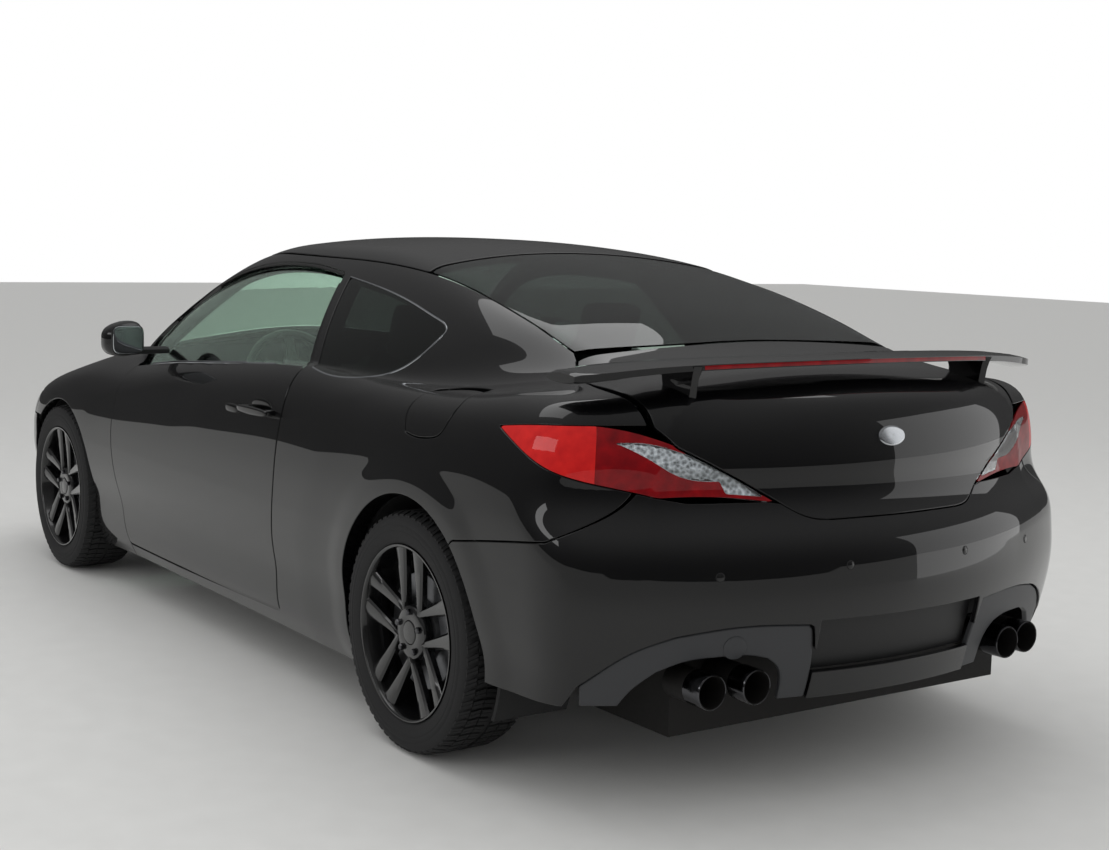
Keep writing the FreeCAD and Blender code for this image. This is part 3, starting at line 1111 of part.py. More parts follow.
for name, shape in (("quarter_glasses", quarter_glass), ("tail_lamps", tail_lamp), ("diffuser", pod),
                    ("headlamps", headlamp)):
    keep(both_sides(name + "_pair", shaped(name + "_l", shape)), name)
for name, shape in (("bonnet", bonnet), ("cowl", cowl), ("roof", roof), ("windscreen", windscreen),
                    ("rear_window", rear_window), ("boot_lid", boot_lid), ("rear_bumper", bumper_rear),
                    ("front_bumper", bumper_front), ("grille", grille), ("fuel_flap", fuel_flap),
                    ("spoiler", spoiler)):
    keep(shaped(name + "_shape", shape), name)

# Rebuild, look at every object and write one file for each piece
doc.recompute()
for item in doc.Objects:
    if "Invalid" in item.State or "Error" in item.State:
        raise RuntimeError("%s is not built: %s" % (item.Label, item.State))
for item in FINAL:
    shape = item.Shape
    if shape.isNull() or not shape.isValid():
        raise RuntimeError("%s has no valid shape" % item.Label)
    print(item.Label, len(shape.Solids), round(shape.Volume / 1e6, 2))
    shape.exportStep("parts/%s.step" % item.Label)
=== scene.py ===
# %% [markdown]
# A black two-door fastback coupe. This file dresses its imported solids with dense, glossy panels,
# wheels, lamps, glass and a cabin. Sizes are written in millimetres, in the same frame as the
# solids (+X forward, +Y to the car's left, +Z up), and each mesh is divided down to metres.

# %% Load the frame and measure its box
import bpy
import bmesh
import json
import math
import numpy as np
from mathutils import Matrix, Vector


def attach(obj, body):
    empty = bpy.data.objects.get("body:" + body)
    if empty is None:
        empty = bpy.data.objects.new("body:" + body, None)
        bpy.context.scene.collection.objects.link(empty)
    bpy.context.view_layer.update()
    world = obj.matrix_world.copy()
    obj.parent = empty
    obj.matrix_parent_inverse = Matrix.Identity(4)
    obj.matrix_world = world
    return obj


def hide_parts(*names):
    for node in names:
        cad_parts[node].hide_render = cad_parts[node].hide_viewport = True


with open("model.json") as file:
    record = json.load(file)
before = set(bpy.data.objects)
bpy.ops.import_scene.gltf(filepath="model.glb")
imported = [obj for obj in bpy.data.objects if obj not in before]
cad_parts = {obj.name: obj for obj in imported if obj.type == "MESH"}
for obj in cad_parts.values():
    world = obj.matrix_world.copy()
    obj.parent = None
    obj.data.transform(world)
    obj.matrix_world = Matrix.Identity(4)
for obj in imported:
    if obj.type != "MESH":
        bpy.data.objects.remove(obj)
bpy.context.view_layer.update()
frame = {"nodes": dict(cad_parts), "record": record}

# %% [markdown]
# Gloss paint shows every bump of a surface, so the body isn't a mesh that was pushed about by hand.
# Its shape is a rule: a function that is negative inside the car, positive outside and zero on the
# skin. Curves through a few measured points give the plan, the sill line of the windows, the deck,
# the roof and both ends, and a soft maximum blends them.

# %% A smooth curve through measured points
class Curve:
    def __init__(self, points):
        pts = sorted(points)
        self.a = np.array([p[0] for p in pts], float)
        self.b = np.array([p[1] for p in pts], float)
        n = len(pts)
        step = np.diff(self.a)
        grid = np.eye(n)
        right = np.zeros(n)
        for i in range(1, n - 1):
            grid[i, i - 1:i + 2] = step[i - 1], 2 * (step[i - 1] + step[i]), step[i]
            right[i] = 6 * ((self.b[i + 1] - self.b[i]) / step[i] - (self.b[i] - self.b[i - 1]) / step[i - 1])
        self.m = np.linalg.solve(grid, right)
        self.first = (self.b[1] - self.b[0]) / step[0] - step[0] * self.m[1] / 6
        self.last = (self.b[-1] - self.b[-2]) / step[-1] + step[-1] * self.m[-2] / 6

    def __call__(self, x):
        x = np.asarray(x, float)
        i = np.clip(np.searchsorted(self.a, x) - 1, 0, len(self.a) - 2)
        step = self.a[i + 1] - self.a[i]
        p = (self.a[i + 1] - x) / step
        q = 1 - p
        bend = (p ** 3 - p) * self.m[i] + (q ** 3 - q) * self.m[i + 1]
        y = p * self.b[i] + q * self.b[i + 1] + bend * step * step / 6
        y = np.where(x < self.a[0], self.b[0] + (x - self.a[0]) * self.first, y)
        return np.where(x > self.a[-1], self.b[-1] + (x - self.a[-1]) * self.last, y)


# %% The car's curves: half width, window sill, side, deck, roof, cabin, tail and nose
PLAN = Curve([(-2305, 875), (-2000, 905), (-1700, 930), (-1330, 932), (-900, 918), (-300, 905),
              (600, 903), (1100, 909), (1490, 915), (1900, 905), (2305, 885)])
BELT = Curve([(-2200, 1012), (-1700, 1006), (-1253, 990), (-875, 978), (-501, 985), (-47, 957), (546, 912),
              (887, 872), (1319, 850), (1700, 800), (2305, 690)])
WIDEST = 560.0
UPPER = Curve([(0, 0), (0.3, 4), (0.55, 16), (0.75, 34), (0.9, 60), (1.0, 92), (1.15, 150)])
LOWER = Curve([(0, 0), (130, 10), (210, 26), (300, 34), (350, 46), (420, 80)])
DECK = Curve([(-2305, 1040), (-2080, 1046), (-1900, 1066), (-1700, 1068), (-1500, 1040), (-1300, 1012),
              (-1000, 990), (-501, 992), (-47, 964), (546, 922), (887, 925), (1100, 950), (1319, 925),
              (1500, 888), (1700, 842), (1900, 786), (2080, 722), (2305, 630)])
CROWN = Curve([(-2305, 22), (-1900, 30), (-1600, 30), (-1200, 12), (-800, 0), (500, 0), (900, 16),
               (1200, 31), (2305, 31)])
ROOF = Curve([(-2100, 985), (-1850, 1050), (-1720, 1100), (-1600, 1150), (-1350, 1228), (-1100, 1292),
              (-850, 1341), (-650, 1366), (-450, 1381), (-250, 1385), (0, 1384), (150, 1378),
              (300, 1362), (450, 1330), (600, 1275), (750, 1207), (900, 1130), (1050, 1048), (1200, 960)])
CABIN = Curve([(-2000, 560), (-1800, 600), (-1600, 655), (-1350, 726), (-1000, 775), (-600, 798),
               (-200, 804), (300, 800), (700, 778), (900, 758), (1150, 700)])
TAIL = Curve([(150, -2180), (250, -2240), (330, -2266), (450, -2295), (540, -2305), (620, -2299),
              (700, -2274), (735, -2244), (765, -2224), (850, -2212), (950, -2196), (1040, -2168)])
NOSE = Curve([(150, 2215), (250, 2275), (350, 2298), (450, 2305), (560, 2292), (650, 2258),
              (720, 2205), (800, 2110)])
BLEND = Curve([(-2100, 150), (-1500, 150), (-1100, 70), (-800, 24), (900, 22), (1100, 60), (1300, 60)])

# %% The lines that the sides are pressed along, and where the wheels stand
REAR_AXLE, FRONT_AXLE, AXLE_Z = -1330, 1490, 332
SHOULDER = Curve([(-1760, 1000), (-1500, 995), (-1253, 983), (-875, 932), (-700, 905)])
CREASE = Curve([(130, 872), (500, 826), (800, 778), (1045, 734), (1200, 700)])
FLARE_RISE, SHOULDER_DEPTH, CREASE_DEPTH = 4.0, 4.0, 3.5


# %% The body as one rule, and its outward direction
def smooth_max(a, b, reach):
    share = np.maximum(reach - np.abs(a - b), 0.0) / reach
    return np.maximum(a, b) + share ** 3 * reach / 6


def eased(t):
    t = np.clip(t, 0, 1)
    return t * t * (3 - 2 * t)


def fold(x, z, line, x0, x1, depth, reach):
    below = line(x) - z
    along = eased((x - x0) / 300) * eased((x1 - x) / 300)
    return depth * along * eased((below + 25) / 60) * (1 - eased(below / reach / 3))


# Shallow forms of the pressed sides: a flare round each rear wheel, a shoulder and a crease ahead of it
def relief(x, z):
    from_axle = np.hypot(x - REAR_AXLE, z - AXLE_Z)
    ring_round = eased((from_axle - 405) / 90) * eased((700 - from_axle) / 210)
    flare = FLARE_RISE * ring_round * eased((900 - z) / 160)
    shoulder = fold(x, z, SHOULDER, -1800, -760, SHOULDER_DEPTH, 70)
    return flare + shoulder + fold(x, z, CREASE, 100, 1330, CREASE_DEPTH, 90)


def body_field(p):
    x, y, z = p[:, 0], np.abs(p[:, 1]), p[:, 2]
    sill = BELT(x)
    inset = np.where(z > WIDEST, UPPER((z - WIDEST) / (sill - WIDEST)), LOWER(WIDEST - z))
    side = y - PLAN(x) + inset + relief(x, z)
    top = z - DECK(x) + CROWN(x) * (y / 600.0) ** 2
    rear = TAIL(z) + 104.0 * (y / 549.0) ** 2 - x
    front = x - NOSE(z) + 175.0 * (y / 700.0) ** 2.2
    tub = smooth_max(side, top, 70.0)
    tub = smooth_max(tub, rear, np.where(x < 0, 130.0, 1.0))
    tub = smooth_max(tub, front, np.where(x > 0, 320.0, 1.0))
    rise = z - 960.0
    cabin_side = y - CABIN(x) + 0.4 * rise + 0.00075 * rise * rise
    station = x + 110.0 * (y / 600.0) ** 2 * np.clip(x / 300.0, 0, 1)
    roof = z - ROOF(station) + 45.0 * (y / 580.0) ** 2
    cabin = smooth_max(cabin_side, roof, 75.0)
    cabin = np.maximum(cabin, np.maximum(-2000.0 - x, x - 1500.0))
    return -smooth_max(-tub, -cabin, BLEND(x))


def outward(p):
    grad = np.empty_like(p)
    for k in range(3):
        nudge = np.zeros(3)
        nudge[k] = 0.5
        grad[:, k] = body_field(p + nudge) - body_field(p - nudge)
    return grad / np.linalg.norm(grad, axis=1)[:, None]


# %% [markdown]
# A panel is found by shooting rays from inside the car to the skin: a fan round a line for the
# sides, upright rays for the roof and bonnet, fans round an upright or a cross line for both ends.

# %% Rays that meet the skin
FAN_LOW = Curve([(-2125, 20), (-1600, 8), (-1450, 0), (-1150, -28), (-950, -35), (0, -35), (1960, -35)])
FAN_HIGH = Curve([(-2125, 60), (-1900, 65), (-1700, 72), (-1500, 76), (-1300, 76), (1960, 76)])


def side_ray(x, share):
    a = np.radians(FAN_LOW(x) + share * (FAN_HIGH(x) - FAN_LOW(x)))
    zero = np.zeros_like(a)
    return np.stack([x, zero + 300, zero + 500], 1), np.stack([zero, np.cos(a), np.sin(a)], 1), 100, 1100


def top_ray(x, y):
    zero = np.zeros_like(x)
    return np.stack([x, y, zero + 560], 1), np.stack([zero, zero, zero + 1], 1), 0, 1000


def tail_ray(angle, z):
    a = np.radians(angle)
    zero = np.zeros_like(a)
    return np.stack([zero - 1330, zero, z], 1), np.stack([-np.cos(a), np.sin(a), zero], 1), 300, 1500


def nose_ray(angle, z):
    a = np.radians(angle)
    zero = np.zeros_like(a)
    return np.stack([zero + 1400, zero, z], 1), np.stack([np.cos(a), np.sin(a), zero], 1), 300, 1500


def lid_ray(angle, y):
    a = np.radians(angle)
    zero = np.zeros_like(a)
    return np.stack([zero - 1750, y, zero + 700], 1), np.stack([-np.sin(a), zero, np.cos(a)], 1), 60, 900


def tail_corner_ray(turn, lift):
    a, b = np.radians(turn), np.radians(lift)
    zero = np.zeros_like(a)
    aim = np.stack([-np.cos(a) * np.cos(b), np.sin(a) * np.cos(b), np.sin(b)], 1)
    return np.stack([zero - 1500, zero + 200, zero + 620], 1), aim, 60, 1500


def nose_corner_ray(turn, lift):
    a, b = np.radians(turn), np.radians(lift)
    zero = np.zeros_like(a)
    aim = np.stack([np.cos(a) * np.cos(b), np.sin(a) * np.cos(b), np.sin(b)], 1)
    return np.stack([zero + 1450, zero + 250, zero + 420], 1), aim, 60, 1500


# Every panel lies this far inside the rule, so that it stays within the box of the solids
SKIN_DEPTH = 0.3


def meet(ray, uv, depth=SKIN_DEPTH):
    start, aim, near, far = ray(uv[:, 0], uv[:, 1])
    low = np.full(len(uv), float(near))
    high = np.full(len(uv), float(far))
    f_low = body_field(start + aim * low[:, None]) + depth
    f_high = body_field(start + aim * high[:, None]) + depth
    for turn in range(14):
        mid = low - f_low * (high - low) / (f_high - f_low + 1e-12)
        if turn % 3 == 2:
            mid = (low + high) / 2
        mid = np.clip(mid, low, high)
        f_mid = body_field(start + aim * mid[:, None]) + depth
        out = f_mid > 0
        high = np.where(out, mid, high)
        f_high = np.where(out, f_mid, f_high)
        low = np.where(out, low, mid)
        f_low = np.where(out, f_low, f_mid)
    pick = np.where(np.abs(f_low) < np.abs(f_high), low, high)
    return start + aim * pick[:, None]


# %% [markdown]
# Seams are drawn as flat outlines, seen from the side, from above or from behind. Each outline gives
# a signed distance, and the grid of a panel is clipped where that distance passes zero. The cut edge
# is then rolled over with a small radius, as a pressed steel edge is, and turned inwards.

# %% Outlines and clipping
def bent(run, fine=10.0):
    pts = np.array(run, float)
    if len(pts) == 2:
        return pts[:-1]
    t = np.r_[0, np.cumsum(np.linalg.norm(np.diff(pts, axis=0), axis=1))]
    s = np.linspace(0, t[-1], max(8, int(t[-1] / fine)))
    cx, cy = Curve(list(zip(t, pts[:, 0]))), Curve(list(zip(t, pts[:, 1])))
    return np.stack([cx(s), cy(s)], 1)[:-1]


def polygon(runs):
    return np.concatenate([bent(run) for run in runs])


def from_polygon(poly, flat):
    a = poly
    b = np.roll(poly, -1, axis=0)
    best = np.full(len(flat), 1e9)
    inside = np.zeros(len(flat), bool)
    for p, q in zip(a, b):
        d = q - p
        w = flat - p
        t = np.clip((w @ d) / (d @ d + 1e-12), 0, 1)
        best = np.minimum(best, np.hypot(w[:, 0] - t * d[0], w[:, 1] - t * d[1]))
        cross = (p[1] > flat[:, 1]) != (q[1] > flat[:, 1])
        at = p[0] + (flat[:, 1] - p[1]) * d[0] / (d[1] if d[1] else 1e-9)
        inside ^= cross & (flat[:, 0] < at)
    return np.where(inside, -best, best)


def within(runs, plane, grow=0.0):
    poly = polygon(runs)
    axes = {"side": (0, 2), "top": (0, 1), "rear": (1, 2)}[plane]
    return lambda p: from_polygon(poly, p[:, axes]) - grow


def outside(rule, grow=0.0):
    return lambda p: grow - rule(p)


def all_of(*rules):
    return lambda p: np.max([rule(p) for rule in rules], axis=0)


def beyond(axis, value, sign):
    return lambda p: sign * (value - p[:, axis])


def round_hole(x, z, radius):
    return lambda p: radius - np.hypot(p[:, 0] - x, p[:, 2] - z)


# %% Cutting a grid where a rule passes zero; the new points are met with the skin again
def clip(ray, uv, pts, tris, rule):
    f = rule(pts)
    f = np.where(np.abs(f) < 1e-3, -1e-3, f)
    out = f > 0
    count = out[tris].sum(axis=1)
    keep = [tris[count == 0]]
    mixed = tris[(count == 1) | (count == 2)]
    if not len(mixed):
        return uv, pts, keep[0]
    edges = np.concatenate([mixed[:, [0, 1]], mixed[:, [1, 2]], mixed[:, [2, 0]]])
    edges = np.sort(edges[out[edges[:, 0]] != out[edges[:, 1]]], axis=1)
    edges = np.unique(edges, axis=0)
    low = np.where(out[edges[:, 0]], edges[:, 1], edges[:, 0])
    high = np.where(out[edges[:, 0]], edges[:, 0], edges[:, 1])
    ua, ub, fa, fb = uv[low], uv[high], f[low], f[high]
    for turn in range(4):
        t = (fa / (fa - fb))[:, None]
        if turn == 2:
            t = np.full_like(t, 0.5)
        um = ua + (ub - ua) * t
        pm = meet(ray, um)
        fm = rule(pm)
        hit = (fm > 0)[:, None]
        ua, ub = np.where(hit, ua, um), np.where(hit, um, ub)
        fa, fb = np.where(hit[:, 0], fa, np.minimum(fm, -1e-9)), np.where(hit[:, 0], fm, fb)
    new = {tuple(e): len(uv) + i for i, e in enumerate(edges)}
    uv, pts = np.concatenate([uv, um]), np.concatenate([pts, pm])
    made = []
    for tri in mixed:
        for k in range(3):
            a, b, c = tri[k], tri[(k + 1) % 3], tri[(k + 2) % 3]
            if out[a] and not out[b] and not out[c]:
                ab, ca = new[tuple(sorted((a, b)))], new[tuple(sorted((c, a)))]
                made += [(ab, b, c), (ab, c, ca)]
            elif not out[a] and out[b] and out[c]:
                made.append((a, new[tuple(sorted((a, b)))], new[tuple(sorted((c, a)))]))
    keep.append(np.array(made).reshape(-1, 3))
    return uv, pts, np.concatenate(keep)


# %% [markdown]
# A pressed panel has a thin, rounded edge and a flange that is turned inwards; the eye reads the
# dark gap between two such edges. So each grid gets a rolled rim, a flange and a back, with the
# outward direction of the rule as its normals, which keeps reflections free of the grid's facets.

# %% A mesh with its own normals, and the grid of a panel
def mesh_object(name, verts, faces, loop_normals=None):
    mesh = bpy.data.meshes.new(name)
    mesh.from_pydata([tuple(v) for v in verts], [], [tuple(int(i) for i in f) for f in faces])
    mesh.validate()
    mesh.polygons.foreach_set("use_smooth", [True] * len(mesh.polygons))
    if loop_normals is not None:
        mesh.normals_split_custom_set(loop_normals)
    obj = bpy.data.objects.new(name, mesh)
    bpy.context.scene.collection.objects.link(obj)
    return obj


def skin_grid(ray, us, vs, rules):
    u, v = np.meshgrid(us, vs, indexing="ij")
    uv = np.stack([u.ravel(), v.ravel()], 1)
    pts = meet(ray, uv)
    n, m = len(us), len(vs)
    i, j = np.meshgrid(np.arange(n - 1), np.arange(m - 1), indexing="ij")
    a = (i * m + j).ravel()
    tris = np.concatenate([np.stack([a, a + m, a + m + 1], 1), np.stack([a, a + m + 1, a + 1], 1)])
    mid = pts[tris].mean(axis=1)
    face = np.cross(pts[tris[:, 1]] - pts[tris[:, 0]], pts[tris[:, 2]] - pts[tris[:, 0]])
    if (np.einsum("ij,ij->i", face, outward(mid)) < 0).sum() > len(tris) / 2:
        tris = tris[:, ::-1]
    for rule in rules:
        uv, pts, tris = clip(ray, uv, pts, tris, rule)
    used, back = np.unique(tris, return_inverse=True)
    pts, tris = pts[used], back.reshape(-1, 3)
    key = np.round(pts, 2)
    first, where = np.unique(key, axis=0, return_index=True, return_inverse=True)[1:]
    pts, tris = pts[first], where.reshape(-1)[tris]
    good = (tris[:, 0] != tris[:, 1]) & (tris[:, 1] != tris[:, 2]) & (tris[:, 2] != tris[:, 0])
    return pts, tris[good]


def rim_edges(tris):
    edges = np.concatenate([tris[:, [0, 1]], tris[:, [1, 2]], tris[:, [2, 0]]])
    code = np.sort(edges, axis=1)
    kind, index, count = np.unique(code, axis=0, return_inverse=True, return_counts=True)
    return edges[count[index.reshape(-1)] == 1]


# %% A panel from its grid: skin, rolled edge, flange and back
def panel(name, ray, us, vs, rules, thick, radius=2.5, depth=0.0):
    rules = [(lambda p, r=r: r(p) + radius) for r in rules]
    pts, tris = skin_grid(ray, us, vs, rules)
    normal = outward(pts)
    pts = pts - normal * depth
    edge = rim_edges(tris)
    along = pts[edge[:, 1]] - pts[edge[:, 0]]
    along /= np.maximum(np.linalg.norm(along, axis=1), 1e-9)[:, None]
    away = np.zeros_like(pts)
    for k in (0, 1):
        np.add.at(away, edge[:, k], np.cross(along, normal[edge[:, k]]))
    rim = np.unique(edge)
    size = np.linalg.norm(away[rim], axis=1)
    turn = away[rim] / np.maximum(size, 1e-9)[:, None]
    reach = np.clip(2.0 / np.maximum(size, 1e-9), 1.0, 1.5)[:, None]
    where = np.full(len(pts), -1)
    where[rim] = np.arange(len(rim))
    n = normal[rim]
    verts = [pts]
    normals = [normal]
    rings = [np.arange(len(pts))[rim]]
    base = len(pts)
    for deg in (30, 60, 90):
        a = math.radians(deg)
        verts.append(pts[rim] + turn * reach * radius * math.sin(a) - n * radius * (1 - math.cos(a)))
        normals.append(n * math.cos(a) + turn * math.sin(a))
        rings.append(base + np.arange(len(rim)))
        base += len(rim)
    verts.append(pts[rim] + turn * reach * radius - n * max(thick, radius + 0.5))
    normals.append(turn)
    rings.append(base + np.arange(len(rim)))
    base += len(rim)
    verts.append(pts - normal * max(thick, radius + 0.5))
    normals.append(-normal)
    back = base + np.arange(len(pts))
    faces = [tuple(t) for t in tris]
    a, b = where[edge[:, 0]], where[edge[:, 1]]
    for upper, lower in zip(rings[:-1], rings[1:]):
        faces += list(zip(upper[b], upper[a], lower[a], lower[b]))
    faces += list(zip(rings[-1][b], rings[-1][a], back[edge[:, 0]], back[edge[:, 1]]))
    faces += [tuple(back[t[::-1]]) for t in tris]
    verts = np.concatenate(verts) / 1000
    normals = np.concatenate(normals)
    loops = np.concatenate([np.array(f) for f in faces])
    return mesh_object(name, verts, faces, normals[loops])


def spread(first, last, step):
    return np.linspace(first, last, max(2, int(round(abs(last - first) / step)) + 1))


# %% The same panel for the other side of the car
def other_side(obj, name):
    mesh = obj.data.copy()
    count = len(mesh.vertices)
    co = np.empty(count * 3)
    mesh.vertices.foreach_get("co", co)
    normals = np.empty(len(mesh.loops) * 3)
    mesh.corner_normals.foreach_get("vector", normals)
    co = co.reshape(-1, 3) * (1, -1, 1)
    normals = normals.reshape(-1, 3) * (1, -1, 1)
    faces = []
    order = []
    for poly in mesh.polygons:
        loop = list(poly.loop_indices)[::-1]
        order += loop
        faces.append([mesh.loops[i].vertex_index for i in loop])
    bpy.data.meshes.remove(mesh)
    twin = mesh_object(name, co, faces, normals[order])
    for mat in obj.data.materials:
        twin.data.materials.append(mat)
    return twin


# %% [markdown]
# The seams of this car, measured on its surface. The halves of the wide pieces are mirrored.

# %% Seams of the doors and side windows, as x and z seen from the left
DOOR_FRONT = [(887, 872), (922, 739), (912, 551), (872, 377), (852, 254), (838, 205)]
DOOR_SILL = [(838, 205), (400, 199), (-455, 214)]
DOOR_REAR = [(-455, 214), (-470, 400), (-490, 600), (-498, 760), (-505, 900), (-510, 986)]
DOOR_BELT = [(-510, 986), (-300, 976), (-47, 958), (250, 936), (546, 912), (760, 888), (887, 872)]
WINDOW_REAR = [(-510, 986), (-455, 1120), (-385, 1264)]
WINDOW_TOP = [(-385, 1264), (-200, 1281), (-29, 1285), (183, 1273), (388, 1232), (516, 1184), (651, 1115),
              (790, 1000), (887, 872)]
QUARTER_FRONT = [(-560, 986), (-500, 1120), (-440, 1258)]
QUARTER_TOP = [(-440, 1258), (-708, 1228), (-912, 1193), (-1060, 1160), (-1112, 1142)]
QUARTER_TIP = [(-1112, 1142), (-1122, 1132), (-1118, 1118)]
QUARTER_BELT = [(-1118, 1118), (-1072, 1062), (-985, 1008), (-870, 982), (-700, 974), (-560, 986)]
DOOR_RUNS = [DOOR_FRONT, DOOR_SILL, DOOR_REAR, DOOR_BELT]
DOOR_HOLE = [DOOR_FRONT, DOOR_SILL, DOOR_REAR, WINDOW_REAR, WINDOW_TOP]
DOOR_GLASS = [DOOR_BELT, WINDOW_TOP[::-1], WINDOW_REAR[::-1]]
QUARTER = [QUARTER_FRONT, QUARTER_TOP, QUARTER_TIP, QUARTER_BELT]
FLAP = [[(-1278, 980), (-1380, 992), (-1480, 996)], [(-1480, 996), (-1502, 970), (-1496, 935)],
        [(-1496, 935), (-1470, 890), (-1426, 876)], [(-1426, 876), (-1355, 870), (-1292, 876)],
        [(-1292, 876), (-1270, 920), (-1278, 980)]]

# %% Seams of bumpers, lamps, lid, wings, bonnet and glass; a name ends with the way it is seen from
GLASS_SIDE = [[(1150, 0), (1150, 500)], [(1150, 500), (1100, 600), (985, 690)],
              [(985, 690), (760, 640), (560, 588), (345, 548)],
              [(345, 548), (100, 560), (-300, 565), (-841, 565)],
              [(-841, 565), (-1200, 566), (-1600, 568)], [(-1600, 568), (-1680, 604)],
              [(-1680, 604), (-1760, 640), (-2140, 646)], [(-2140, 646), (-2500, 646)],
              [(-2500, 646), (-2500, 0)], [(-2500, 0), (1150, 0)]]
BUMPER_SIDE = [[(-1520, 80), (-1520, 560)], [(-1520, 560), (-1593, 632)],
               [(-1593, 632), (-1800, 664), (-1960, 686)],
               [(-1960, 686), (-2010, 720), (-2046, 804)], [(-2046, 804), (-2104, 779)],
               [(-2104, 779), (-2600, 779)], [(-2600, 779), (-2600, 80)], [(-2600, 80), (-1520, 80)]]
LAMP_SIDE = [[(-2104, 779), (-1950, 845), (-1727, 939)], [(-1727, 939), (-1880, 956), (-2036, 962)],
             [(-2036, 962), (-2600, 962)], [(-2600, 962), (-2600, 779)], [(-2600, 779), (-2104, 779)]]
LAMP_REAR = [[(349, 774), (450, 832), (600, 913)], [(600, 913), (700, 948), (790, 962), (960, 965)],
             [(960, 965), (960, 779)], [(960, 779), (800, 779)],
             [(800, 779), (600, 793), (480, 790), (349, 774)]]
LID_REAR = [[(0, 733), (200, 733), (290, 742), (349, 774)], [(349, 774), (450, 832), (600, 913)],
            [(600, 913), (646, 960)], [(646, 960), (646, 1200)], [(646, 1200), (0, 1200)],
            [(0, 1200), (0, 733)]]
LID_TOP = [[(-1672, 0), (-1668, 300), (-1640, 585)], [(-1640, 585), (-1720, 630), (-1800, 646)],
           [(-1800, 646), (-2500, 646)], [(-2500, 646), (-2500, 0)], [(-2500, 0), (-1672, 0)]]
WING_SIDE = [DOOR_FRONT, [(838, 205), (836, 80)], [(836, 80), (2000, 80)], [(2000, 80), (2000, 500)],
             [(2000, 500), (1840, 600), (1760, 720), (1690, 1000)],
             [(1690, 1000), (1010, 1000)], [(1010, 1000), (887, 872)]]
BONNET_TOP = [[(1190, 0), (1152, 420), (1035, 686)], [(1035, 686), (1300, 706), (1600, 706)],
              [(1600, 706), (1850, 690), (2000, 610)], [(2000, 610), (2100, 420), (2150, 0)],
              [(2150, 0), (1190, 0)]]
COWL_TOP = [[(1133, 0), (1093, 420), (988, 684)], [(988, 684), (1026, 688)],
            [(1026, 688), (1144, 420), (1182, 0)], [(1182, 0), (1133, 0)]]
ROOF_TOP = [[(345, 0), (330, 300), (290, 548)], [(290, 548), (0, 561), (-300, 565), (-841, 565)],
            [(-841, 565), (-800, 300), (-790, 0)], [(-790, 0), (345, 0)]]
SCREEN_TOP = [[(1130, 0), (1090, 420), (985, 682)], [(985, 682), (760, 632), (560, 580), (296, 544)],
              [(296, 544), (336, 300), (351, 0)], [(351, 0), (1130, 0)]]
REAR_TOP = [[(-796, 0), (-806, 300), (-847, 560)], [(-847, 560), (-1200, 562), (-1598, 564)],
            [(-1598, 564), (-1645, 300), (-1655, 0)], [(-1655, 0), (-796, 0)]]
SHELF_REAR = [[(0, 733), (200, 733), (290, 742), (349, 774)],
              [(349, 774), (480, 790), (600, 793), (800, 779)], [(800, 779), (1000, 779)],
              [(1000, 779), (1000, 1200)], [(1000, 1200), (0, 1200)], [(0, 1200), (0, 733)]]
POD_REAR = [[(305, 482), (508, 486), (643, 466)], [(643, 466), (740, 425), (832, 341)],
            [(832, 341), (850, 285)], [(850, 285), (283, 285)], [(283, 285), (283, 355), (305, 482)]]
POD_OPENING = [[(750, 270), (723, 324), (673, 374)], [(673, 374), (617, 398), (531, 409)],
               [(531, 409), (450, 408), (410, 399)], [(410, 399), (375, 369), (362, 325)],
               [(362, 325), (358, 270)], [(358, 270), (750, 270)]]
PLATE_REAR = [[(0, 492), (285, 492)], [(285, 492), (285, 356)], [(285, 356), (0, 356)], [(0, 356), (0, 492)]]
INSERT_REAR = [[(393, 790), (455, 839), (525, 877), (591, 899), (656, 919), (739, 922)],
               [(739, 922), (699, 903), (664, 882), (617, 851), (571, 834), (502, 829)],
               [(502, 829), (487, 799)], [(487, 799), (393, 790)]]
RED_ZONE = [[(768, 970), (780, 900), (779, 700)], [(779, 700), (1000, 700)], [(1000, 700), (1000, 990)],
            [(1000, 990), (768, 970)]]
NOSE_SIDE = [[(1500, 80), (1500, 600)], [(1500, 600), (1840, 600)], [(1840, 600), (1800, 650), (1772, 700)],
             [(1772, 700), (2000, 668), (2150, 640)], [(2150, 640), (2180, 735)], [(2180, 735), (2600, 735)],
             [(2600, 735), (2600, 80)], [(2600, 80), (1500, 80)]]
MOUTH = [[(0, 430), (380, 430)], [(380, 430), (470, 350), (430, 230)],
         [(430, 230), (0, 230)], [(0, 230), (0, 430)]]
HEAD_SIDE = [[(1772, 700), (2000, 668), (2150, 640)], [(2150, 640), (2180, 735)],
             [(2180, 735), (1960, 800), (1690, 850)], [(1690, 850), (1772, 700)]]

# %% Widths of the gaps, the exhaust tips' places, and outlines made whole by their mirror image
TIPS = [(-2204, 568, 334), (-2234, 453, 339)]
GAP, DOOR_GAP, LID_GAP, FLAP_GAP = 3.0, 5.5, 5.5, 3.5


def whole(half):
    top = half[:-1]
    if half[0][0][1] == 0 and half[0][0][0] != 0:
        return top + [[(a, -b) for a, b in run[::-1]] for run in top[::-1]]
    return top + [[(-a, b) for a, b in run[::-1]] for run in top[::-1]]


# %% [markdown]
# Forms that aren't body panels are revolved about an axle, lofted through sections or grown from a
# rounded block. What repeats round a circle is one piece and a Geometry Nodes ring.

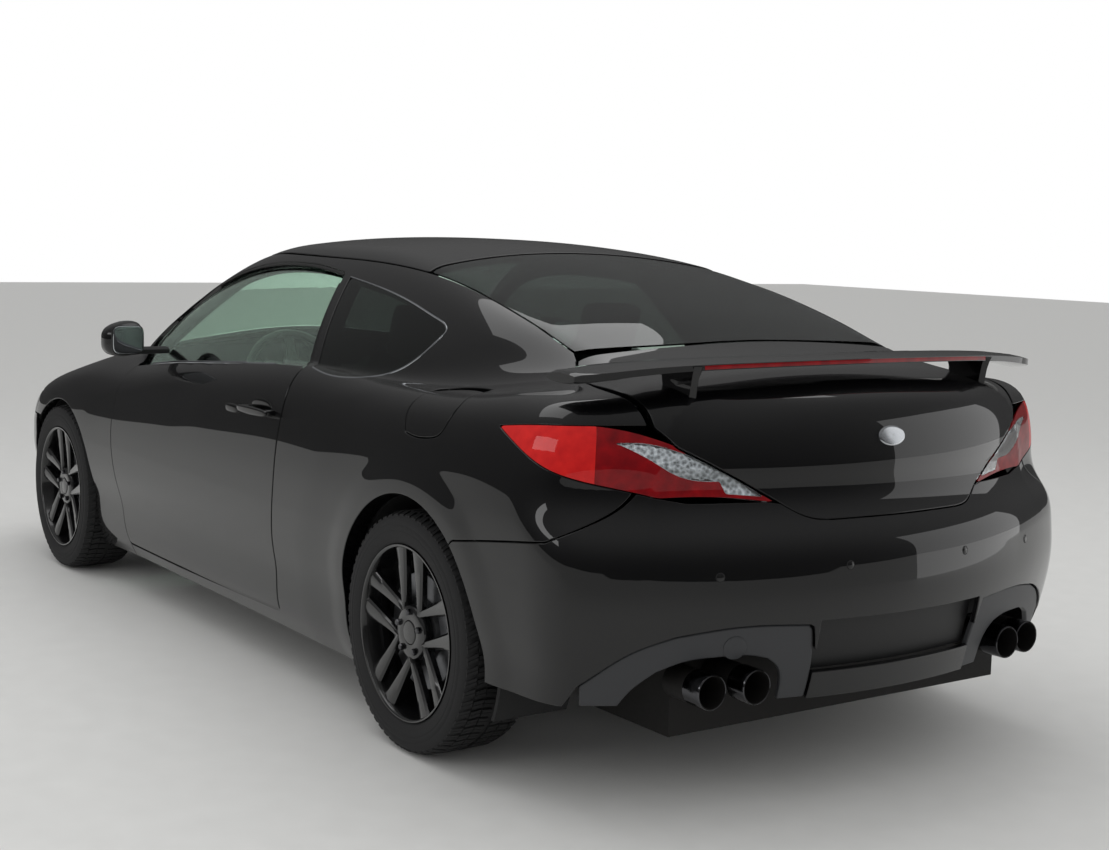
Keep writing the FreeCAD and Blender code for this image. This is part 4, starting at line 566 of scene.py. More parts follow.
# %% A mesh from points and faces, and a loft through sections
def solid(name, verts, faces, sharp=35.0):
    mesh = bpy.data.meshes.new(name)
    points = [tuple(float(c) / 1000 for c in v) for v in verts]
    mesh.from_pydata(points, [], [tuple(int(i) for i in f) for f in faces])
    mesh.validate()
    work = bmesh.new()
    work.from_mesh(mesh)
    bmesh.ops.remove_doubles(work, verts=work.verts, dist=1e-6)
    bmesh.ops.recalc_face_normals(work, faces=work.faces)
    work.to_mesh(mesh)
    work.free()
    mesh.polygons.foreach_set("use_smooth", [True] * len(mesh.polygons))
    mesh.set_sharp_from_angle(angle=math.radians(sharp))
    obj = bpy.data.objects.new(name, mesh)
    bpy.context.scene.collection.objects.link(obj)
    return obj


def loft(name, loops, sharp=35.0):
    n = len(loops[0])
    faces = []
    for i in range(len(loops) - 1):
        for j in range(n):
            a, b = i * n + j, i * n + (j + 1) % n
            faces.append((a, b, b + n, a + n))
    faces.append(tuple(range(n))[::-1])
    faces.append(tuple(range((len(loops) - 1) * n, len(loops) * n)))
    return solid(name, [p for loop in loops for p in loop], faces, sharp=sharp)


# %% Forms turned about an axle from a half section
def turned(name, profile, centre, aim, steps=72, sharp=35.0):
    aim = Vector(aim).normalized()
    side = aim.orthogonal().normalized()
    third = aim.cross(side)
    verts = []
    for k in range(steps):
        a = 2 * math.pi * k / steps
        out = side * math.cos(a) + third * math.sin(a)
        verts += [Vector(centre) + aim * h + out * r for h, r in profile]
    n = len(profile)
    faces = []
    for k in range(steps):
        for j in range(n):
            a, b = k * n + j, k * n + (j + 1) % n
            c, d = ((k + 1) % steps) * n + (j + 1) % n, ((k + 1) % steps) * n + j
            faces.append((a, b, c, d))
    return solid(name, verts, faces, sharp)


# %% Rounded blocks
# A cube of the given number of cells a side, blown up towards a ball: the higher the power, the squarer
def round_cube(power, cells):
    verts, faces = [], []
    for axis in range(3):
        for sign in (-1, 1):
            base = len(verts)
            for i in range(cells + 1):
                for j in range(cells + 1):
                    p = np.zeros(3)
                    p[axis] = sign
                    p[(axis + 1) % 3] = math.sin(math.pi / 2 * (2 * i / cells - 1))
                    p[(axis + 2) % 3] = math.sin(math.pi / 2 * (2 * j / cells - 1))
                    verts.append(p / (np.abs(p) ** power).sum() ** (1 / power))
            for i in range(cells):
                for j in range(cells):
                    a = base + i * (cells + 1) + j
                    quad = (a, a + cells + 1, a + cells + 2, a + 1)
                    faces.append(quad if sign > 0 else quad[::-1])
    return np.array(verts), faces


def rounded(name, low, high, power=5.0, cells=10, bend=None):
    low, high = np.array(low, float), np.array(high, float)
    pts, faces = round_cube(power, cells)
    if bend:
        pts = bend(pts)
    return solid(name, (low + high) / 2 + pts * (high - low) / 2, faces, sharp=60)


# %% A strip swept along a path on the skin: its section as shares of width and height
STRIP_SECTION = ((-0.5, -0.6), (-0.5, 0.5), (-0.3, 1.0), (0.3, 1.0), (0.5, 0.5), (0.5, -0.6))


def swept(name, path, normals, width, height):
    path, normals = np.array(path, float), np.array(normals, float)
    along = np.gradient(path, axis=0)
    along /= np.linalg.norm(along, axis=1)[:, None]
    across = np.cross(normals, along)
    loops = []
    for p, n, c in zip(path, normals, across):
        loops.append([p + c * width * u + n * height * v for u, v in STRIP_SECTION])
    return loft(name, loops)


# %% Joining pieces that move together, and mirroring them
def joined(name, objs):
    keep = objs[0]
    work = bmesh.new()
    slots = []
    for obj in objs:
        start = len(work.faces)
        work.from_mesh(obj.data)
        work.faces.ensure_lookup_table()
        for mat in obj.data.materials:
            if mat not in slots:
                slots.append(mat)
        for face in list(work.faces)[start:]:
            if obj.data.materials:
                face.material_index = slots.index(obj.data.materials[face.material_index])
    work.to_mesh(keep.data)
    work.free()
    keep.data.materials.clear()
    for mat in slots:
        keep.data.materials.append(mat)
    for obj in objs[1:]:
        bpy.data.objects.remove(obj)
    keep.name = keep.data.name = name
    return keep


def flipped(obj, name):
    mesh = obj.data.copy()
    mesh.transform(Matrix.Diagonal((1, -1, 1, 1)))
    mesh.flip_normals()
    twin = bpy.data.objects.new(name, mesh)
    bpy.context.scene.collection.objects.link(twin)
    return twin


def mirror_of(obj):
    twin = flipped(obj, obj.name + "_twin")
    bpy.data.objects.remove(obj)
    return twin


# %% [markdown]
# Tread blocks and lug nuts repeat round the axle. A Geometry Nodes tree puts one copy of the piece on
# each of Count points and turns it by its share of the circle, so one block is modelled, not 64.

# %% A ring of copies about the Y axis, as a node tree with named inputs
def ring_tree():
    tree = bpy.data.node_groups.new("ring_of_copies", "GeometryNodeTree")
    tree.interface.new_socket("Geometry", in_out="INPUT", socket_type="NodeSocketGeometry")
    tree.interface.new_socket("Count", in_out="INPUT", socket_type="NodeSocketInt")
    tree.interface.new_socket("Finish", in_out="INPUT", socket_type="NodeSocketMaterial")
    tree.interface.new_socket("Geometry", in_out="OUTPUT", socket_type="NodeSocketGeometry")
    made = {key: tree.nodes.new(kind) for key, kind in (
        ("given", "NodeGroupInput"), ("result", "NodeGroupOutput"), ("points", "GeometryNodePoints"),
        ("index", "GeometryNodeInputIndex"), ("turn", "ShaderNodeMath"), ("share", "ShaderNodeMath"),
        ("spin", "ShaderNodeCombineXYZ"), ("copy", "GeometryNodeInstanceOnPoints"),
        ("real", "GeometryNodeRealizeInstances"), ("finish", "GeometryNodeSetMaterial"))}
    made["turn"].operation = "MULTIPLY"
    made["turn"].inputs[1].default_value = 2 * math.pi
    made["share"].operation = "DIVIDE"
    links = [("given", "Count", "points", "Count"), ("given", "Geometry", "copy", "Instance"),
             ("points", 0, "copy", "Points"), ("index", 0, "turn", 0), ("turn", 0, "share", 0),
             ("given", "Count", "share", 1), ("share", 0, "spin", "Y"), ("spin", 0, "copy", "Rotation"),
             ("copy", 0, "real", "Geometry"), ("real", 0, "finish", "Geometry"),
             ("given", "Finish", "finish", "Material"), ("finish", 0, "result", 0)]
    for a, b, c, d in links:
        tree.links.new(made[a].outputs[b], made[c].inputs[d])
    return tree


RING = ring_tree()


def ring(obj, count, finish, centre):
    mod = obj.modifiers.new("ring", "NODES")
    mod.node_group = RING
    ids = {item.name: item.identifier for item in RING.interface.items_tree if item.in_out == "INPUT"}
    mod[ids["Count"]] = count
    mod[ids["Finish"]] = finish
    shown = obj.evaluated_get(bpy.context.evaluated_depsgraph_get())
    mesh = bpy.data.meshes.new_from_object(shown)
    obj.modifiers.remove(mod)
    obj.data = mesh
    mesh.transform(Matrix.Translation(Vector(centre) / 1000))
    return obj


# %% [markdown]
# Every finish is a small node tree: a pattern in real millimetres mixes two colours, moves the
# roughness between two values and raises a fine bump.

# %% Finishes
def linear(code):
    value = [int(code[i:i + 2], 16) / 255 for i in (1, 3, 5)]
    return [v / 12.92 if v <= 0.04045 else ((v + 0.055) / 1.055) ** 2.4 for v in value] + [1.0]


def add(tree, kind, **values):
    node = tree.nodes.new(kind)
    for key, value in values.items():
        name = key.replace("_", " ")
        if name in node.inputs:
            if isinstance(value, bpy.types.NodeSocket):
                tree.links.new(value, node.inputs[name])
            else:
                node.inputs[name].default_value = value
        else:
            setattr(node, key, value)
    return node


def finish(name, colour, other, grain, rough, bump=0.0, pattern="ShaderNodeTexNoise", shadow=None, **sockets):
    mat = bpy.data.materials.new(name)
    mat.use_nodes = True
    tree = mat.node_tree
    shader = tree.nodes["Principled BSDF"]
    where = add(tree, "ShaderNodeTexCoord").outputs["Object"]
    texture = add(tree, pattern, Vector=where, Scale=1000.0 / grain)
    value = texture.outputs["Fac"] if "Fac" in texture.outputs else texture.outputs["Distance"]
    mix = add(tree, "ShaderNodeMix", data_type="RGBA")
    tree.links.new(value, mix.inputs[0])
    mix.inputs[6].default_value = linear(colour)
    mix.inputs[7].default_value = linear(other)
    tree.links.new(mix.outputs[2], shader.inputs["Base Color"])
    span = add(tree, "ShaderNodeMapRange", Value=value, To_Min=rough[0], To_Max=rough[1])
    tree.links.new(span.outputs[0], shader.inputs["Roughness"])
    if bump:
        raised = add(tree, "ShaderNodeBump", Height=value, Strength=1.0, Distance=bump / 1000.0)
        tree.links.new(raised.outputs[0], shader.inputs["Normal"])
    for key, value in sockets.items():
        shader.inputs[key.replace("_", " ")].default_value = value
    if shadow:
        path = add(tree, "ShaderNodeLightPath")
        thin = add(tree, "ShaderNodeBsdfTransparent", Color=linear(shadow))
        both = add(tree, "ShaderNodeMixShader")
        tree.links.new(path.outputs["Is Shadow Ray"], both.inputs[0])
        tree.links.new(shader.outputs[0], both.inputs[1])
        tree.links.new(thin.outputs[0], both.inputs[2])
        tree.links.new(both.outputs[0], tree.nodes["Material Output"].inputs[0])
    return mat


# %% Finishes of the body: what each one is, and what it gives the eye
# Black base coat under clear lacquer: hardly any colour of its own, so the room is mirrored sharply
paint = finish("black_clearcoat_paint", "#020203", "#050506", 0.6, (0.4, 0.5), Coat_Weight=1.0,
               Coat_Roughness=0.012, Coat_IOR=1.5, Specular_IOR_Level=0.08)
# Grey ABS with a moulded grain: a soft, wide sheen without an image of the room
satin = finish("satin_grey_plastic", "#2c2d2f", "#333437", 1.2, (0.42, 0.55), bump=0.02)
# Unpainted black polypropylene: dull, a little greyer than the paint
black = finish("black_moulded_plastic", "#0c0c0d", "#121213", 0.9, (0.45, 0.6), bump=0.03)
# Black ABS from a polished mould: sharp but less deep than lacquer
gloss = finish("gloss_black_plastic", "#050505", "#080808", 2.0, (0.08, 0.14))
# Rolled aluminium or steel strip, polished: a thin light line round the windows
bright = finish("bright_trim", "#b9bcc0", "#c9ccd0", 3.0, (0.1, 0.18), Metallic=1.0)
# Silvered glass: the room, nearly without a loss
mirror_glass = finish("mirror_silver", "#c4c9cc", "#ccd0d3", 50.0, (0.01, 0.02), Metallic=1.0)

# %% Finishes of wheels, brakes and the underside
# Moulded rubber: matt, grey rather than black where light grazes it
rubber = finish("tyre_rubber", "#141415", "#1d1d1e", 2.5, (0.7, 0.88), bump=0.05)
# Powder-coated aluminium under thin lacquer: blurred highlights along the spokes
wheel_paint = finish("black_wheel_paint", "#060607", "#0a0a0b", 0.8, (0.22, 0.3), Coat_Weight=0.7,
                     Coat_Roughness=0.06)
# Grey cast iron, turned on a lathe: bright where the brake pads rub
steel = finish("turned_disc_steel", "#6c6d70", "#8b8c8f", 1.5, (0.25, 0.42), bump=0.01, Metallic=1.0)
# Cast iron with a trace of rust: rough and dark
cast = finish("cast_iron", "#38383a", "#4a4744", 3.0, (0.6, 0.8), bump=0.15, Metallic=0.6)
# Sprayed underbody wax: black and lumpy
under = finish("underbody_coating", "#161617", "#232323", 4.0, (0.6, 0.85), bump=0.2)
# Steel pipe painted near black as the shade under the bumper: a metal that hardly shines
pipe_painted_shade = finish("exhaust_steel_painted_shade", "#151413", "#232120", 9.0, (0.5, 0.75), Metallic=0.5)
# Smoked chrome: mirrors the floor in grey
tip_metal = finish("dark_chrome", "#4a4a4c", "#5c5c5f", 5.0, (0.1, 0.2), Metallic=1.0)

# %% Finishes of lamps and glass
# Dyed acrylic under a hard clear coat: red from within and one sharp reflection on top. Its pattern
# stands for the optics behind it and is drawn as coarse as it needs to show
LENS_COAT = {"Coat_Weight": 0.6, "Coat_Roughness": 0.02, "Specular_IOR_Level": 0.05}
red_lens = finish("red_lens", "#d02420", "#a81216", 26.0, (0.4, 0.5), **LENS_COAT)
deep_red = finish("deep_red_lens", "#92060e", "#45030a", 34.0, (0.4, 0.5), **LENS_COAT)
# Clear acrylic: light goes through it, so its shadow is nearly white
clear_lens = finish("clear_lens", "#f2f4f5", "#e7eaec", 20.0, (0.0, 0.02), shadow="#f0f0f0",
                    Transmission_Weight=1.0, IOR=1.45)
# Aluminised plastic behind the lens, pressed into facets of 11 mm; its colour, dark in the middle of each
# facet and bright at its edge, is painted glints and painted shade on the facets
reflector_painted_glints = finish("lamp_reflector_painted_glints", "#2c2e30", "#d9dcde", 11.0, (0.08, 0.25), bump=0.6,
                   pattern="ShaderNodeTexVoronoi", Metallic=1.0)
# Float glass with iron in it: clear, with a faint green
green_glass = finish("clear_green_glass", "#cfe6d8", "#cde4d6", 60.0, (0.0, 0.0), shadow="#b4cfbf",
                     Transmission_Weight=1.0, IOR=1.45)
# Privacy glass: dark grey all through, so the cabin is only just seen
dark_glass = finish("tinted_glass", "#3c4240", "#393f3d", 60.0, (0.0, 0.01), shadow="#3a3f3d",
                    Transmission_Weight=1.0, IOR=1.45)

# %% Finishes of the cabin
# Woven polyester: its threads scatter light, so it has no highlight but a faint rim
cloth = finish("seat_cloth", "#111113", "#1d1d20", 1.4, (0.85, 0.97), bump=0.25,
               pattern="ShaderNodeTexVoronoi", Sheen_Weight=0.4)
# Black leather with a pebbled grain: dull highlights on the crown of each pad
leather = finish("seat_leather", "#0f0f10", "#161617", 1.1, (0.38, 0.52), bump=0.12,
                 pattern="ShaderNodeTexVoronoi")
# Slush-moulded skin with a fine grain, made matt so that it isn't mirrored in the windscreen
dash_skin = finish("dashboard_skin", "#101011", "#171718", 0.8, (0.6, 0.75), bump=0.06,
                   pattern="ShaderNodeTexVoronoi")

# %% The solids get the same finishes
CAD_LOOK = {"black_paint": paint, "dark_steel": under, "cast_metal": cast, "tyre_rubber": rubber,
            "black_rim": wheel_paint, "side_glass": green_glass, "dark_glass": dark_glass,
            "lamp_red": deep_red, "lamp_clear": clear_lens, "satin_grey": satin,
            "black_plastic": black, "seat_cloth": cloth, "dark_leather": leather}
SLOTS = {part["node"]: part["material_slot"] for part in frame["record"]["subparts"]}
for node, obj in frame["nodes"].items():
    # The exhaust under the bumper gets the near-black steel, which is painted shade
    look = pipe_painted_shade if node == "exhaust" else CAD_LOOK[SLOTS[node]]
    if not obj.material_slots:
        obj.data.materials.append(look)
    for slot in obj.material_slots:
        slot.material = look
print(len(bpy.data.materials), "finishes,", len(CAD_LOOK), "of them on", len(SLOTS), "solid pieces")

# %% [markdown]
# The real panels are pressed from one sheet each, so a reflection runs on from panel to panel and
# only the gap between them interrupts it. Here all of them are cut out of the one rule by their
# seams, which gives the same. Each panel is named by its rays, its grid and the seams that bound it.

# %% Seams as rules that more than one panel needs
ARCH_Z, REAR_ARCH, FRONT_ARCH = 329, 382, 360
arch_rear = round_hole(REAR_AXLE, ARCH_Z, REAR_ARCH)
arch_front = round_hole(FRONT_AXLE, ARCH_Z, FRONT_ARCH)
lid_rule = all_of(within(whole(LID_TOP), "top", LID_GAP), within(whole(LID_REAR), "rear", LID_GAP))
bonnet_rule = within(whole(BONNET_TOP), "top", LID_GAP)
side_rules = [outside(within(GLASS_SIDE, "top"), GAP / 2), outside(within(BUMPER_SIDE, "side"), GAP / 2),
              outside(within(LAMP_SIDE, "side"), GAP / 2), arch_rear,
              outside(within(DOOR_HOLE, "side"), DOOR_GAP), outside(within(QUARTER, "side")),
              beyond(2, 150, 1), outside(within(WING_SIDE, "side"), GAP / 2), outside(lid_rule)]

# %% A panel is made once and kept with the solid and the body it belongs to
coarse = 1.0
SIDE_STEP, TOP_STEP, GLASS_STEP = 14 * coarse, 16 * coarse, 22 * coarse
SIDE_FAN, GLASS_FAN = 0.0095 * coarse, 0.012 * coarse
PIECES = {}


def make(name, node, body, *args, **kw):
    obj = panel(name, *args, **kw)
    PIECES[name] = (obj, node, body)
    print(name, len(obj.data.vertices), "points")
    return obj


def make_pair(name, *args, **kw):
    left = make(name + "_left", *args, **kw)
    right = other_side(left, name + "_right")
    node, body = args[0], args[1]
    PIECES[name + "_right"] = (right, node.replace("left", "right"), body.replace("left", "right"))
    return left, right


# %% Body sides and fuel flap; only the left side has the flap's hole
side_us, side_vs = spread(-2045, 1000, SIDE_STEP), spread(0, 1, SIDE_FAN)
make("side_skin_left", "body_side_left", "body", side_ray, side_us, side_vs,
     side_rules + [outside(within(FLAP, "side"), FLAP_GAP)], 55)
right = panel("side_plain", side_ray, side_us, side_vs, side_rules, 55)
PIECES["side_skin_right"] = (other_side(right, "side_skin_right"), "body_side_right", "body")
bpy.data.objects.remove(right)
make("flap_skin", "fuel_flap", "fuel_flap", side_ray, spread(-1560, -1210, 10), spread(0.2, 0.8, 0.008),
     [within(FLAP, "side")], 4.5, radius=1.5)

# %% Doors, front wings, bonnet, roof and cowl
make_pair("door_skin", "door_left", "door_left", side_ray, spread(-620, 950, SIDE_STEP),
          spread(0, 0.86, SIDE_FAN), [within(DOOR_RUNS, "side")], 72)
make_pair("wing_skin", "front_wing_left", "body", side_ray, spread(840, 1900, SIDE_STEP),
          spread(0, 0.9, SIDE_FAN), [
              within(WING_SIDE, "side", -GAP / 2), arch_front, outside(bonnet_rule),
              outside(within(whole(SCREEN_TOP), "top"), GAP / 2),
              outside(within(whole(COWL_TOP), "top"), GAP / 2),
              outside(within(HEAD_SIDE, "side"), GAP / 2),
              outside(within(NOSE_SIDE, "side"), GAP / 2)], 13)
make("bonnet_skin", "bonnet", "bonnet", top_ray, spread(1020, 2170, TOP_STEP),
     spread(-730, 730, TOP_STEP), [within(whole(BONNET_TOP), "top")], 20)
make("roof_skin", "roof", "body", top_ray, spread(-900, 420, TOP_STEP), spread(-590, 590, TOP_STEP),
     [within(whole(ROOF_TOP), "top", -GAP / 2)], 28)
make("cowl_skin", "cowl", "body", top_ray, spread(960, 1200, 12), spread(-710, 710, 14),
     [within(whole(COWL_TOP), "top", -GAP / 2)], 15, depth=4)

# %% Boot lid, and the rear bumper with its two cut-outs and the recess in its middle
lid_half = all_of(within(whole(LID_TOP), "top"), within(whole(LID_REAR), "rear"))
make("lid_skin", "boot_lid", "boot_lid", lid_ray, spread(-26, 96, 1.6 * coarse),
     spread(-680, 680, SIDE_STEP), [lid_half], 20)
pod_rule = within(POD_REAR, "rear", GAP / 2)
shelf = all_of(within(whole(SHELF_REAR), "rear", GAP / 2), lambda p: p[:, 0] + 2104)


def both_pods(p):
    return pod_rule(np.stack([p[:, 0], np.abs(p[:, 1]), p[:, 2]], 1))


make("rear_bumper_skin", "rear_bumper", "body", tail_ray, spread(-76, 76, 0.8 * coarse),
     spread(215, 815, 12 * coarse), [
         within(BUMPER_SIDE, "side", -GAP / 2), arch_rear, outside(shelf), outside(both_pods),
         beyond(2, 285, 1), outside(within(whole(PLATE_REAR), "rear"))], 13)
make("plate_pan", "rear_bumper", "body", tail_ray, spread(-20, 20, 0.8 * coarse), spread(340, 508, 8),
     [within(whole(PLATE_REAR), "rear", 6)], 4, depth=29)

# %% Front bumper, with a mouth for the grille
make("front_bumper_skin", "front_bumper", "body", nose_ray, spread(-66, 66, 0.9 * coarse),
     spread(160, 735, 12 * coarse), [
         within(NOSE_SIDE, "side", -GAP / 2), arch_front, outside(bonnet_rule),
         outside(within(whole(MOUTH), "rear"))], 13)

# %% Lamps: a lens flush with the skin, and a bright facetted wall behind it
lamp_rules = [within(LAMP_SIDE, "side"), within(LAMP_REAR, "rear"), outside(lid_rule)]
lamp_grid = [tail_corner_ray, spread(-20, 80, 0.9), spread(2, 40, 0.6)]
insert, red_zone = within(INSERT_REAR, "rear"), within(RED_ZONE, "rear")
lens_zones = {"tail_lens": [outside(insert), red_zone],
              "tail_lens_inner": [outside(insert), outside(red_zone)], "tail_insert": [insert]}
for name, zone in lens_zones.items():
    make_pair(name, "tail_lamps", "body", *lamp_grid, lamp_rules + zone, 4, radius=0.8)
# The reflector wall behind the tail lenses carries painted glints and painted shade in its colour
make_pair("tail_reflector", "tail_lamps", "body", *lamp_grid, lamp_rules, 6, radius=1.0, depth=22)
head_rules = [within(HEAD_SIDE, "side", -GAP / 2), outside(bonnet_rule)]
head_grid = [nose_corner_ray, spread(-10, 80, 1.5), spread(5, 50, 1.0)]
make_pair("head_lens", "headlamps", "body", *head_grid, head_rules, 4, radius=1.5)
make_pair("head_reflector", "headlamps", "body", *head_grid, head_rules, 8, radius=1.5, depth=24)

# %% Dark face of the grille, behind the slats that come later
make("grille_face", "grille", "body", nose_ray, spread(-33, 33, 0.9 * coarse), spread(220, 440, 8),
     [within(whole(MOUTH), "rear", 4)], 4, depth=32)

# %% Glass, sunk a little below the paint round it
make("screen_glass", "windscreen", "body", top_ray, spread(260, 1150, GLASS_STEP),
     spread(-700, 700, GLASS_STEP), [within(whole(SCREEN_TOP), "top", -GAP / 2)], 5,
     radius=1.0, depth=3)
make("rear_glass", "rear_window", "body", top_ray, spread(-1680, -770, GLASS_STEP),
     spread(-590, 590, GLASS_STEP), [within(whole(REAR_TOP), "top", -GAP / 2)], 5,
     radius=1.0, depth=3)
make_pair("door_pane", "door_glass_left", "door_left", side_ray, spread(-600, 950, 18 * coarse),
          spread(0.45, 1, GLASS_FAN), [within(DOOR_GLASS, "side", -0.5)], 5, radius=1.0, depth=14)
make_pair("quarter_pane", "quarter_glasses", "body", side_ray, spread(-1150, -400, 18 * coarse),
          spread(0.45, 1, GLASS_FAN), [within(QUARTER, "side", -GAP / 2)], 5, radius=1.0, depth=2)

# %% Surrounds of the exhaust tips
make_pair("pod_skin", "diffuser", "body", tail_ray, spread(6, 50, 0.6), spread(215, 560, 10),
          [within(POD_REAR, "rear", -GAP / 2), outside(within(POD_OPENING, "rear"))], 13,
          radius=5.0, depth=6)

# %% Put a finish on each panel and let it stand for its solid
# Both lamp reflectors get the finish whose colour is painted glints and painted shade
LOOK = {"tail_lens": red_lens, "tail_lens_inner": deep_red, "tail_insert": clear_lens,
        "tail_reflector": reflector_painted_glints, "head_reflector": reflector_painted_glints, "head_lens": clear_lens,
        "rear_glass": dark_glass, "quarter_pane": dark_glass, "door_pane": green_glass,
        "screen_glass": green_glass, "pod_skin": satin, "cowl_skin": black, "plate_pan": black,
        "grille_face": black}
for name, (obj, node, body) in PIECES.items():
    key = name.replace("_left", "").replace("_right", "")
    obj.data.materials.append(LOOK.get(key, paint))
    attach(obj, body)
    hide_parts(node)
print(len(PIECES), "panels")

# %% [markdown]
# Each wheel has a tyre with a tread of separate blocks, five pairs of tapered spokes, a barrel, a
# brake disc and five lug nuts. The tyre, barrel and hub are turned from their half sections, which
# keeps them round, and one tread block and one nut are repeated by the ring of copies. Each wheel
# is modelled round its hub and then moved to its place; on the right it is turned about the upright.

# %% Half sections of tyre and rim: distance along the axle, then radius
TYRE_SIDE = [(-104, 243), (-108, 250), (-111, 262), (-112.3, 275), (-112.3, 277), (-111.7, 278),
             (-111.7, 280), (-112.3, 281), (-111.5, 292), (-110.6, 293), (-110.4, 296), (-110.9, 297),
             (-108.4, 307), (-104, 316), (-97, 321.5), (-84, 324), (0, 325.5)]
TYRE_RING = TYRE_SIDE + [(-h, r) for h, r in TYRE_SIDE[-2::-1]] + [(92, 240), (-92, 240)]
BARREL = [(-108, 240.5), (-108, 232), (-98, 227), (-60, 214), (20, 212), (60, 222), (88, 229), (101, 232),
          (106, 234), (108, 237), (108, 240.5)]
HUB = [(60, 33), (60, 76), (78, 76), (85, 72), (88.5, 64), (89.5, 46), (88, 34), (86, 33)]
CAP = [(80, 0.01), (80, 32), (88, 32), (90, 30), (91, 24), (91.4, 0.01)]
DISC = [(22, 40), (22, 158), (24, 160), (31, 160), (32, 159), (32, 156), (38, 156), (38, 159),
        (39, 160), (46, 160), (48, 158), (48, 96), (58, 92), (58, 40)]
NUT = [(84, 0.01), (84, 9.5), (96, 9.5), (99, 7.5), (99.5, 0.01)]

# %% One pitch of tread blocks: six rows, each with its two edges, its share of the pitch and its lean
TREAD_ROWS = [(-103, -76, 0.62, 0.35), (-72, -42, 0.7, 0.15), (-38, -8, 0.72, -0.1), (8, 38, 0.72, 0.1),
              (42, 72, 0.7, -0.15), (76, 103, 0.62, -0.35)]
TREADS = 64
BLOCK_FOOT, BLOCK_TOP, SHOULDER_DROP = 319.0, 331.4, 9.0


def tread_pitch(name):
    verts, faces = [], []
    pitch = 2 * math.pi / TREADS
    for row, (y0, y1, fill, lean) in enumerate(TREAD_ROWS):
        for half in range(2):
            low, high = (0.0, 0.46) if half == 0 else (0.54, 1.0)
            base = len(verts)
            for y, outer in ((y0, row == 0), (y1, row == len(TREAD_ROWS) - 1)):
                drop = SHOULDER_DROP if outer else 0.0
                for share in (low, high):
                    a = pitch * (fill * share + lean * (y - y0) / (y1 - y0) + 0.17 * row)
                    for r in (BLOCK_FOOT - drop, BLOCK_TOP - drop * 0.9 - abs(y) * 0.012):
                        verts.append((r * math.sin(a), y, r * math.cos(a)))
            b = base
            faces += [(b, b + 1, b + 3, b + 2), (b + 4, b + 6, b + 7, b + 5), (b, b + 4, b + 5, b + 1),
                      (b + 2, b + 3, b + 7, b + 6), (b + 1, b + 5, b + 7, b + 3)]
    return solid(name, verts, faces, sharp=20)


# %% One of the two spokes of a pair, lofted from the hub to the rim
SPOKE_FROM, SPOKE_TO = 58, 233


def spoke(name, side, turn):
    loops = []
    for k in range(10):
        s = k / 9
        r = SPOKE_FROM + (SPOKE_TO - SPOKE_FROM) * s
        middle = side * (40 + 5 * s)
        half = 8.5 + 18.5 * s ** 1.25
        face = 87 + 12 * s ** 1.6
        back = face - 24 + 4 * s
        shape = [(-1, back), (-1, face - 7), (-0.72, face - 1.5), (-0.1, face + 0.6),
                 (0.66, face - 1.5), (1, face - 7), (1, back)]
        loop = []
        for u, y in shape:
            x = middle + side * u * half
            z = math.sqrt(max(r * r - x ** 2, 1.0))
            loop.append((x * math.cos(turn) + z * math.sin(turn), y, z * math.cos(turn) - x * math.sin(turn)))
        loops.append(loop)
    return loft(name, loops, sharp=28)


# %% The four wheels
WHEEL_Y_FRONT, WHEEL_Y_REAR = 801.5, 809


def wheel(place, x, y, side):
    centre = (0, 0, 0)
    tyre = turned("tyre_body", TYRE_RING, centre, (0, 1, 0), 128, sharp=50)
    tyre.data.materials.append(rubber)
    tread = ring(tread_pitch("tread"), TREADS, rubber, centre)
    tyre = joined("tyre_%s_dressed" % place, [tyre, tread])
    parts = [turned("barrel", BARREL, centre, (0, 1, 0), 96), turned("hub", HUB, centre, (0, 1, 0), 48)]
    parts += [spoke("spoke", side_of, k * 2 * math.pi / 5) for k in range(5) for side_of in (1, -1)]
    parts.append(turned("cap", CAP, centre, (0, 1, 0), 36))
    for part in parts:
        part.data.materials.append(wheel_paint)
    rim = joined("rim_%s_dressed" % place, parts)
    disc = turned("disc_%s" % place, DISC, centre, (0, 1, 0), 72)
    disc.data.materials.append(steel)
    nut = turned("nut", NUT, (0, 0, 57), (0, 1, 0), 6, sharp=20)
    nuts = ring(nut, 5, tip_metal, centre)
    nuts.name = "lug_nuts_%s" % place
    body = "wheel_" + place
    for obj in (tyre, rim, disc, nuts):
        turn = Matrix.Rotation(math.pi if side < 0 else 0.0, 4, "Z")
        obj.data.transform(Matrix.Translation((x / 1000, y * side / 1000, AXLE_Z / 1000)) @ turn)
        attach(obj, body)
    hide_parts("tyre_" + place)
    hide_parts("rim_" + place)
    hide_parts("rim_" + place)
    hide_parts("rim_" + place)
    return tyre, rim


for place, x, y, side in (("front_left", FRONT_AXLE, WHEEL_Y_FRONT, 1),
                          ("front_right", FRONT_AXLE, WHEEL_Y_FRONT, -1),
                          ("rear_left", REAR_AXLE, WHEEL_Y_REAR, 1),
                          ("rear_right", REAR_AXLE, WHEEL_Y_REAR, -1)):
    tyre, rim = wheel(place, x, y, side)
print("wheels:", len(tyre.data.polygons), "faces a tyre,", len(rim.data.polygons), "a rim")

# %% [markdown]
# Trim, handles, mirrors, sensors, slats and the wing are separate parts that are clipped or screwed
# to the panels. Small ones have to follow the skin, so each is placed by meeting the body's rule at
# its spot, and a strip is swept along many such spots, which a flat strip could not match.

# %% Places on the skin, found by halving the way between a point inside and a point outside
HALVINGS = 40


def on_skin(place, low, high):
    for turn in range(HALVINGS):
        mid = (low + high) / 2
        inside = body_field(place(mid)) < 0
        low, high = np.where(inside, mid, low), np.where(inside, high, mid)
    return place(low)


